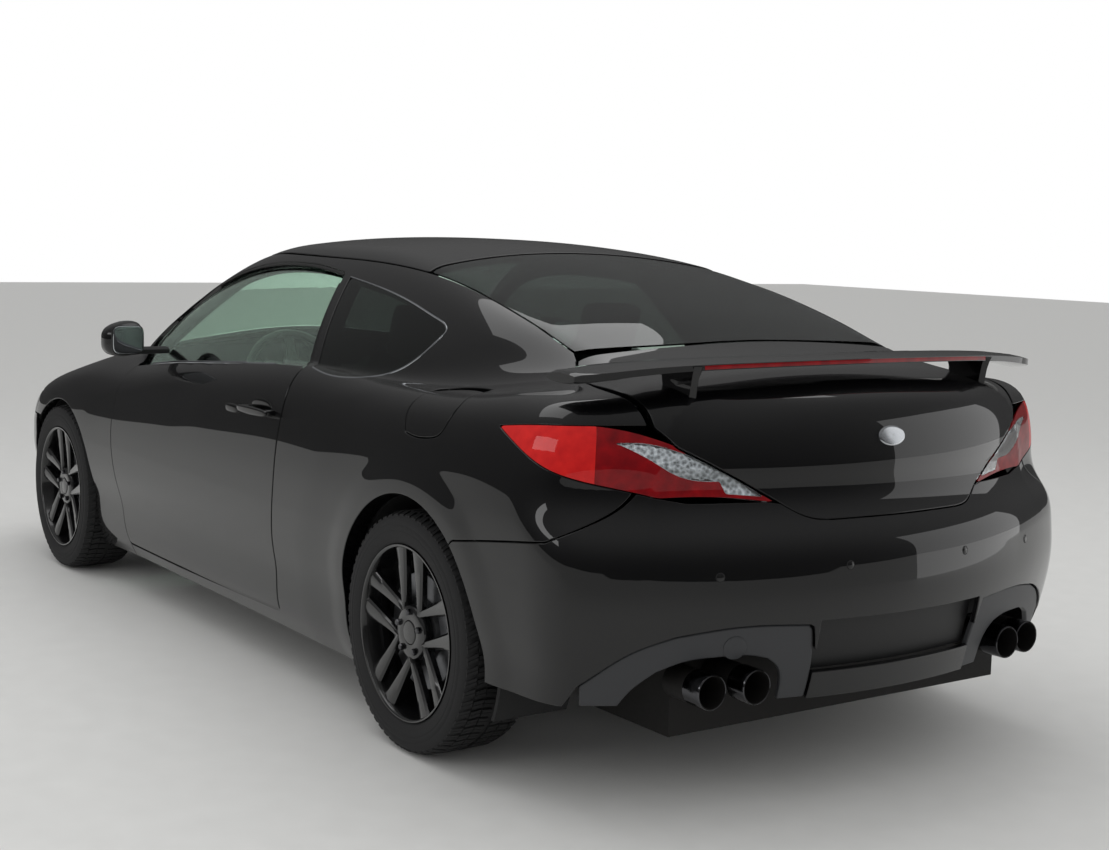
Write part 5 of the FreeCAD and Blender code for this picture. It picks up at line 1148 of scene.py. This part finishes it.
def on_side(x, z):
    x, z = np.asarray(x, float), np.asarray(z, float)
    return on_skin(lambda y: np.stack([x, y, z], 1), np.full(x.shape, 300.0), np.full(x.shape, 1100.0))


def on_tail(y, z):
    y, z = np.asarray(y, float), np.asarray(z, float)
    return on_skin(lambda x: np.stack([x, y, z], 1), np.full(y.shape, -1500.0), np.full(y.shape, -2600.0))


def dressed(name, obj, look, body, *nodes):
    obj.data.materials.clear()
    obj.data.materials.append(look)
    obj.name = obj.data.name = name
    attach(obj, body)
    for node in nodes:
        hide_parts(node)
    return obj


def side_strip(name, outline, width, height, look, body="body", lift=0.0):
    flat = polygon([outline, [outline[-1], outline[-1]]])
    path = on_side(flat[:, 0], flat[:, 1])
    normal = outward(path)
    left = swept(name, path + normal * lift, normal, width, height)
    right = flipped(left, name + "_right")
    dressed(name + "_left", left, look, body)
    dressed(name + "_right", right, look, body.replace("left", "right"))
    print(name, len(path), "sections a side")


# %% Trim strips along the windows and the sill
side_strip("belt_trim", DOOR_BELT[1:-1], 9, 2.2, bright, "door_left", lift=-1.5)
side_strip("window_frame", WINDOW_TOP[:-1], 12, 1.2, gloss, "body", lift=-2.5)
side_strip("quarter_trim_low", QUARTER_BELT, 7, 2.0, bright, "body", lift=-1.2)
side_strip("quarter_trim_top", QUARTER_TOP + QUARTER_TIP[1:], 5, 1.6, bright, "body", lift=-1.4)
side_strip("pillar_cover", [(-515, 992), (-470, 1105), (-412, 1240)], 36, 1.0, gloss, "body", lift=-2.4)
side_strip("skirt", [(800, 212), (300, 204), (-300, 206), (-860, 226)], 14, 2.0, gloss, "body", lift=-3.0)


# %% Door handles: a bowed grip on two feet over a cup, and a cover for the lock behind it
def bowed(pts):
    out = pts.copy()
    out[:, 1] += 0.25 * (1 - pts[:, 0] ** 2)
    out[:, 2] *= 1 - 0.18 * np.abs(pts[:, 0])
    return out


for side, sign in (("left", 1), ("right", -1)):
    grip = rounded("grip", (-460, 905, 822), (-250, 922, 848), 4.0, 12, bowed)
    feet = [rounded("foot", (a, 880, 825), (b, 912, 845), 4.0, 6) for a, b in ((-457, -425), (-285, -253))]
    grip = joined("grip", [grip] + feet)
    cup_at = on_side(np.array([-355.0]), np.array([836.0]))[0]
    cup = rounded("cup", (-430, cup_at[1] - 6, 800), (-280, cup_at[1] + 1.2, 872), 2.6, 12)
    cover = rounded("cover", (-190, 872, 806), (-96, 893.5, 836), 3.0, 8)
    if sign < 0:
        grip, cup, cover = [mirror_of(obj) for obj in (grip, cup, cover)]
    dressed("handle_" + side, grip, paint, "door_" + side, "door_handle_" + side)
    dressed("handle_cup_" + side, cup, gloss, "door_" + side)
    dressed("handle_cover_" + side, cover, gloss, "door_" + side)


# %% Mirrors on the doors
def housing_bend(pts):
    out = pts.copy()
    out[:, 2] *= 1 - 0.16 * np.clip(pts[:, 1], 0, 1)
    out[:, 2] -= 0.12 * np.clip(pts[:, 1], -1, 1)
    out[:, 0] *= 1 - 0.22 * np.clip(pts[:, 1], 0, 1)
    out[:, 0] += 0.12 * pts[:, 1] ** 2
    return out


ARM_SECTION = ((0, 0.1), (0.2, 0), (0.8, 0), (1, 0.3), (0.9, 1), (0.3, 1), (0, 0.7))
for side, sign in (("left", 1), ("right", -1)):
    shell = rounded("shell", (602, 885, 928), (717, 1025, 1053), 3.2, 20, housing_bend)
    frame_ring = rounded("rim", (603, 893, 936), (614, 1013, 1044), 4.5, 14)
    glass = rounded("glass", (601.8, 897, 940), (606, 1009, 1040), 4.5, 14)
    arm = loft("arm", [[(640 + 62 * u, y, 934 + 24 * v) for u, v in ARM_SECTION] for y in (782, 840, 905)])
    parts = [(shell, paint, "shell"), (frame_ring, black, "frame"), (glass, mirror_glass, "glass"),
             (arm, black, "arm")]
    for obj, look, what in parts:
        if sign < 0:
            obj = mirror_of(obj)
        dressed("mirror_%s_%s" % (what, side), obj, look, "door_" + side, "mirror_" + side)

# %% Parking sensors, the tow-eye cover and the plain oval on the boot lid
SENSORS = [(549, 611), (206, 625), (-206, 625), (-549, 611)]
SENSOR_FACE = [(-4, 0.01), (-4, 9.5), (0.2, 9.5), (0.9, 8.5), (1.1, 0.01)]
SENSOR_SEAM = [(-4, 10.0), (-4, 12.0), (0.05, 12.0), (0.05, 10.0)]
TOW_COVER = [(-12, 0.01), (-12, 30), (-5.2, 30), (-4.6, 28.5), (-4.4, 0.01)]
OVAL = [(-2, 0.01), (-2, 30), (1.2, 30), (2.4, 28), (2.8, 25), (2.4, 0.01)]
for k, (y, z) in enumerate(SENSORS):
    at = on_tail(np.array([float(y)]), np.array([float(z)]))
    aim = outward(at)[0]
    face = turned("sensor", SENSOR_FACE, at[0], aim, 32)
    ring_seam = turned("seam", SENSOR_SEAM, at[0], aim, 32)
    dressed("sensor_%d" % k, face, paint, "body")
    dressed("sensor_seam_%d" % k, ring_seam, black, "body")
tow = on_tail(np.array([500.0]), np.array([433.0]))[0]
tow_aim = outward(tow[None])[0]
tow_cover = turned("tow_cover", TOW_COVER, tow, tow_aim, 40)
dressed("tow_eye_cover", tow_cover, satin, "body")
badge_at = on_tail(np.array([0.0]), np.array([926.0]))[0]
badge_turn = outward(badge_at[None])[0]
badge = turned("badge", OVAL, (0, 0, 0), badge_turn, 48)
badge.data.transform(Matrix.Diagonal((1, 1.55, 0.85, 1)))
badge.data.transform(Matrix.Translation(Vector(badge_at) / 1000))
dressed("bare_badge_place", badge, bright, "boot_lid")

# %% Slats across the front grille
SLAT_DEPTH = 22
for k, z in enumerate((258, 284, 310, 336, 362, 388, 412)):
    fan = np.stack([np.linspace(-33, 33, 67), np.full(67, float(z))], 1)
    path = meet(nose_ray, fan)
    path = path[within(whole(MOUTH), "rear", -2)(path) < 0]
    normal = outward(path)
    slat = swept("slat", path - normal * SLAT_DEPTH, normal, 9, 9)
    dressed("grille_slat_%d" % k, slat, gloss, "body", "grille")

# %% [markdown]
# The rear wing is a blade of aerofoil section that turns down at its tips, on two pedestals. It is
# lofted from 49 sections, closer together at the tips, where its outline bends most.

# %% The wing's plan: share of the half span, leading edge, chord and height
WING = [(0.0, -1905, 190, 1106), (0.5, -1890, 185, 1102), (0.85, -1850, 168, 1086), (0.95, -1836, 150, 1076),
        (1.0, -1830, 118, 1070)]
WING_LEAD = Curve([(s, a) for s, a, b, c in WING])
WING_CHORD = Curve([(s, b) for s, a, b, c in WING])
WING_TOP = Curve([(s, c) for s, a, b, c in WING])
HALF_SPAN = 815
AIRFOIL = [(0.0, 0.0), (0.02, 0.17), (0.08, 0.32), (0.2, 0.44), (0.4, 0.5), (0.65, 0.47), (0.9, 0.36),
           (1.0, 0.28), (1.0, -0.22), (0.97, -0.27), (0.8, -0.4), (0.5, -0.48), (0.2, -0.4),
           (0.06, -0.22)]
BLADE_THICK, TIP_SWELL, TIP_ROUND = 26.0, 9.0, 10.0


def wing_loop(y):
    s = min(abs(y) / HALF_SPAN, 1.0)
    lead, chord, z = float(WING_LEAD(s)), float(WING_CHORD(s)), float(WING_TOP(s))
    thick = BLADE_THICK + TIP_SWELL * min(s / 0.9, 1.0) ** 4 - TIP_ROUND * max(0.0, (s - 0.985) / 0.015)
    return [(lead - a * chord, y, z + b * thick) for a, b in AIRFOIL]


# %% The blade, its light strip and its two pedestals
shares = [-np.linspace(1, 0.97, 5), np.linspace(-0.95, 0.95, 39), np.linspace(0.97, 1, 5)]
stations = np.concatenate(shares) * HALF_SPAN
blade = loft("blade", [wing_loop(float(y)) for y in stations], sharp=40)
dressed("wing_blade", blade, paint, "boot_lid", "spoiler")
strip_loops = []
for y in np.linspace(-505, 505, 31):
    s = abs(y) / HALF_SPAN
    tail, z = float(WING_LEAD(s) - WING_CHORD(s)), float(WING_TOP(s))
    strip_loops.append([(tail + 6, y, z - 4.6), (tail - 0.7, y, z - 4.4), (tail - 1.2, y, z + 0.5),
                        (tail - 0.7, y, z + 5.6), (tail + 6, y, z + 6.2)])
dressed("wing_light_strip", loft("strip", strip_loops), deep_red, "boot_lid")
PEDESTAL_Y = 520
PEDESTAL = ((1103, -1902, -2068, 17), (1092, -1905, -2062, 14), (1070, -1912, -2054, 11),
            (1050, -1916, -2050, 11), (1020, -1920, -2046, 12))
for k, sign in enumerate((1, -1)):
    loops = []
    for z, x0, x1, half in PEDESTAL:
        out = PEDESTAL_Y * sign
        loops.append([(x0, out, z), (x0 - 12, out + half, z), (x1 + 12, out + half, z), (x1, out, z),
                      (x1 + 12, out - half, z), (x0 - 12, out - half, z)])
    dressed("pedestal_%d" % k, loft("pedestal", loops, sharp=30), paint, "boot_lid", "spoiler")
print("wing:", len(stations), "sections,", len(blade.data.polygons), "faces")

# %% Rolled rims round the four exhaust tips
TIP_RIM = [(0, 41.2), (-1.4, 42.4), (0, 43.6), (4, 44.2), (60, 44.2), (60, 43.1), (4, 43.1), (2, 41.8)]
for k, (x, y, z) in enumerate([(x, y * sign, z) for x, y, z in TIPS for sign in (1, -1)]):
    tube = turned("tip", TIP_RIM, (x, y, z), (1, 0, 0), 48, sharp=50)
    dressed("exhaust_tip_%d" % k, tube, tip_metal, "body")


# %% [markdown]
# The cabin shows through the glass: padded seats with sewn channels, a bench, a dashboard with its
# instrument hood, and a leather steering wheel. Pads are crowned between their seams.

# %% A padded cushion
PAD_POWER, SEAM_HALF = 6.0, 7.0


def pad(name, low, high, lean, pivot, channels=(), crown=14.0, cells=26, look=None, deep=6.0):
    low, high = np.array(low, float), np.array(high, float)
    size = high - low
    p, faces = round_cube(PAD_POWER, cells)
    thin = int(np.argmin(size))
    others = [k for k in range(3) if k != thin]
    edge = np.minimum(1 - np.abs(p[:, others[0]]), 1 - np.abs(p[:, others[1]]))
    place = low + (p + 1) / 2 * size
    face = np.sign(p[:, thin]) * np.clip(np.abs(p[:, thin]) * 1.6, 0, 1)
    swell = -crown * np.clip(1 - edge * 2.4, 0, 1) ** 2
    for axis, at in channels:
        swell = swell - deep * np.exp(-((place[:, axis] - at) / SEAM_HALF) ** 2)
    wrinkle = 0.8 * np.sin(place[:, others[0]] / 31.0 + 1.3) * np.sin(place[:, others[1]] / 23.0)
    place[:, thin] += face * (swell + wrinkle * np.clip(edge * 4, 0, 1) - 1.0)
    a = math.radians(lean)
    rel = place - np.array(pivot, float)
    turned_x = rel[:, 0] * math.cos(a) + rel[:, 2] * math.sin(a)
    turned_z = -rel[:, 0] * math.sin(a) + rel[:, 2] * math.cos(a)
    place[:, 0], place[:, 2] = turned_x + pivot[0], turned_z + pivot[2]
    obj = solid(name, place, faces, sharp=80)
    obj.data.materials.append(look)
    return obj


# %% Front seats and rear bench
FLOOR_TOP = 198
SEAT_Y, SEAT_HALF = 372, 235
BENCH_LOW, BENCH_TOP = 428, 543
for side, sign in (("left", 1), ("right", -1)):
    y0, y1 = SEAT_Y - SEAT_HALF, SEAT_Y + SEAT_HALF
    base = (-278, y0 + 2, FLOOR_TOP + 132), (238, y1 - 2, FLOOR_TOP + 288)
    lean_at = (-290, 0, FLOOR_TOP + 200)
    seams = [(1, SEAT_Y - 150), (1, SEAT_Y + 150)]
    cushion = pad("cushion", *base, 0, (0, 0, 0), seams + [(0, 60), (0, -60)], look=leather)
    back_low = (lean_at[0], y0 + 12, lean_at[2])
    back = pad("back", back_low, (lean_at[0] + 106, y1 - 12, lean_at[2] + 636), -20, lean_at,
               seams + [(2, lean_at[2] + 200), (2, lean_at[2] + 360), (2, lean_at[2] + 500)], look=leather)
    head_low = (-495, SEAT_Y - 118, FLOOR_TOP + 782)
    head_high = (-409, SEAT_Y + 118, FLOOR_TOP + 966)
    rest = pad("rest", head_low, head_high, -20, head_low, [], crown=16, look=leather)
    feet = rounded("feet", (-218, y0 + 62, FLOOR_TOP + 1), (178, y1 - 62, FLOOR_TOP + 150), 8.0, 8)
    feet.data.materials.append(black)
    for obj, what in ((cushion, "cushion"), (back, "back"), (rest, "headrest"), (feet, "frame")):
        if sign < 0:
            obj = mirror_of(obj)
        obj.name = obj.data.name = "seat_%s_%s" % (what, side)
        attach(obj, "body")
        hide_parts("front_seats")
for side, sign in (("left", 1), ("right", -1)):
    cushion = pad("cushion", (-998, 22, BENCH_LOW), (-642, 592, BENCH_TOP), 0, (0, 0, 0),
                  [(1, 190), (1, 420), (0, -820)], look=leather)
    back = pad("back", (-1112, 20, BENCH_LOW + 2), (-994, 535, 924), 0, (0, 0, 0),
               [(1, 170), (1, 390), (2, 640), (2, 790)], look=leather)
    riser = rounded("riser", (-866, 137, FLOOR_TOP + 1), (-646, 592, 440), 8.0, 8)
    riser.data.materials.append(cloth)
    for obj, what in ((cushion, "cushion"), (back, "back"), (riser, "riser")):
        if sign < 0:
            obj = mirror_of(obj)
        obj.name = obj.data.name = "bench_%s_%s" % (what, side)
        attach(obj, "body")
        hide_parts("rear_bench")

# %% Dashboard, lofted across the car, with a hood over the driver's instruments
dash_loops = []
for y in np.linspace(-686, 686, 57):
    hood = 22 * math.exp(-((y - 370) / 190) ** 4)
    ends = 10 * (abs(y) / 686) ** 6
    dash_loops.append([(896, y, 644), (640, y, 644), (600, y, 652), (574, y, 690), (565 + ends, y, 760),
                       (574 + ends - 8 * (hood > 8), y, 806 + hood * 0.6), (600, y, 822 + hood),
                       (660, y, 826 + hood), (720, y, 830), (820, y, 846), (896, y, 846)])
dressed("dashboard_top", loft("dash", dash_loops, sharp=50), dash_skin, "body", "dashboard")

# %% Steering column and wheel, tilted towards the driver
wheel_mid = np.array([430.0, 370.0, 840.0])
TILT = math.radians(25)
GRIP_RADIUS, GRIP_HALF = 188, 14.5
tilt = np.array([-math.cos(TILT), 0.0, math.sin(TILT)])
column = turned("column", [(2, 0.01), (2, 22), (200, 26), (200, 0.01)], wheel_mid - tilt * 32, -tilt, 32)
dressed("steering_column", column, dash_skin, "body", "dashboard")
grip_section = [(GRIP_HALF * math.sin(a), GRIP_RADIUS + GRIP_HALF * math.cos(a))
                for a in np.linspace(0, 2 * math.pi, 25)[:-1]]
grip_ring = turned("grip", grip_section, wheel_mid, tilt, 96, sharp=80)
side_axis = np.array([0.0, 1.0, 0.0])
down_axis = np.cross(side_axis, tilt)
BAR_SECTION = ((-1, -0.6), (-1, 0.4), (-0.7, 1), (0.7, 1), (1, 0.4), (1, -0.6), (0.7, -1), (-0.7, -1))


def bar(name, direction, across, reach, half):
    loops = []
    for r in np.linspace(40, reach, 8):
        w = half * (1.0 - 0.35 * (r - 40) / (reach - 40))
        mid = wheel_mid + direction * r
        loops.append([mid + across * w * u + tilt * (6.5 * v - 1) for u, v in BAR_SECTION])
    return loft(name, loops, sharp=40)


bars = [bar("bar", side_axis, down_axis, 184, 20), bar("bar", -side_axis, down_axis, 184, 20),
        bar("bar", down_axis, side_axis, 184, 22)]
BOSS = [(-27, 0.01), (-27, 60), (2, 60), (9, 52), (12, 30), (12.5, 0.01)]
boss = turned("boss", BOSS, wheel_mid, tilt, 48, sharp=50)
wheel_obj = joined("steering", [grip_ring] + bars + [boss])
dressed("steering_wheel_dressed", wheel_obj, leather, "steering_wheel", "steering_wheel")

# %% [markdown]
# The camera stands where the photograph was taken from: behind the car on its left, 1.43 m above the
# ground. Its place, angles and focal length come from the outlines of both left wheels and from
# pairs of points that mirror each other across the car.

# %% Camera
yaw, pitch, roll = math.radians(-35.0), math.radians(-6.74), math.radians(1.48)
FOCAL_PIXELS, PICTURE_WIDTH, SENSOR_WIDTH = 1674.9, 1109, 36.0
ahead = Vector((math.cos(yaw) * math.cos(pitch), math.sin(yaw) * math.cos(pitch), math.sin(pitch)))
right = ahead.cross(Vector((0, 0, 1))).normalized()
up = right.cross(ahead)
turned_right = right * math.cos(roll) + up * math.sin(roll)
turned_up = up * math.cos(roll) - right * math.sin(roll)
camera = bpy.data.objects.new("camera", bpy.data.cameras.new("camera"))
bpy.context.scene.collection.objects.link(camera)
axes = Matrix((turned_right, turned_up, -ahead)).transposed()
camera.matrix_world = Matrix.Translation((-5.174, 3.128, 1.430)) @ axes.to_4x4()
camera.data.sensor_fit = "HORIZONTAL"
camera.data.sensor_width = SENSOR_WIDTH
camera.data.lens = FOCAL_PIXELS * SENSOR_WIDTH / PICTURE_WIDTH
bpy.context.scene.camera = camera
print("lens", round(camera.data.lens, 2), "mm")

# %% [markdown]
# Black lacquer is seen by what it mirrors, so the room matters more than the strength of its lamps.
# The camera sees a white background; the paint sees a dim one that grows lighter towards the
# ceiling, so that the sides stay dark, and large soft lamps that draw long bands along them.

# %% Floor and background, which differ for the camera and for the paint's reflections
CAMERA_LIGHT, ROOM_LIGHT = 1.0, 0.9
bpy.ops.mesh.primitive_plane_add(size=60, location=(0, 0, 0))
floor = bpy.context.object
floor.name = "floor"
floor.data.materials.append(finish("pale_floor", "#cbcbc9", "#d2d2d0", 90.0, (0.45, 0.6)))
world = bpy.data.worlds.new("studio")
bpy.context.scene.world = world
world.use_nodes = True
tree = world.node_tree
background = tree.nodes["Background"]
background.inputs["Color"].default_value = (1, 1, 1, 1)
path = add(tree, "ShaderNodeLightPath")
aim = add(tree, "ShaderNodeTexCoord").outputs["Generated"]
height = add(tree, "ShaderNodeSeparateXYZ", Vector=aim).outputs["Z"]
in_paint = add(tree, "ShaderNodeMapRange", Value=height, From_Min=-0.05, From_Max=0.9, To_Min=0.03,
               To_Max=0.32)
seen = add(tree, "ShaderNodeMath", operation="MAXIMUM")
tree.links.new(path.outputs["Is Camera Ray"], seen.inputs[0])
tree.links.new(path.outputs["Is Transmission Ray"], seen.inputs[1])
by_paint = add(tree, "ShaderNodeMix", data_type="FLOAT")
tree.links.new(path.outputs["Is Glossy Ray"], by_paint.inputs[0])
by_paint.inputs[2].default_value = ROOM_LIGHT
tree.links.new(in_paint.outputs[0], by_paint.inputs[3])
by_camera = add(tree, "ShaderNodeMix", data_type="FLOAT")
tree.links.new(seen.outputs[0], by_camera.inputs[0])
tree.links.new(by_paint.outputs[0], by_camera.inputs[2])
by_camera.inputs[3].default_value = CAMERA_LIGHT
tree.links.new(by_camera.outputs[0], background.inputs["Strength"])
bpy.context.scene.view_settings.view_transform = "Standard"


# %% Three soft lamps: place and target in metres, width, height, and power in watts
def soft_light(name, place, aim, width, height, power):
    lamp = bpy.data.lights.new(name, "AREA")
    lamp.shape = "RECTANGLE"
    lamp.size, lamp.size_y, lamp.energy = width, height, power
    obj = bpy.data.objects.new(name, lamp)
    obj.location = place
    obj.rotation_euler = (Vector(aim) - Vector(place)).to_track_quat("-Z", "Y").to_euler()
    bpy.context.scene.collection.objects.link(obj)


soft_light("ceiling", (0.3, 0.0, 4.6), (0, 0, 0), 6.0, 3.2, 80)
soft_light("left_wall", (-0.5, 7.5, 3.4), (-0.6, 0, 0.8), 6.0, 1.2, 60)
soft_light("right_wall", (-4.4, -6.2, 1.75), (-0.24, -1.87, 1.75), 5.3, 3.5, 55)
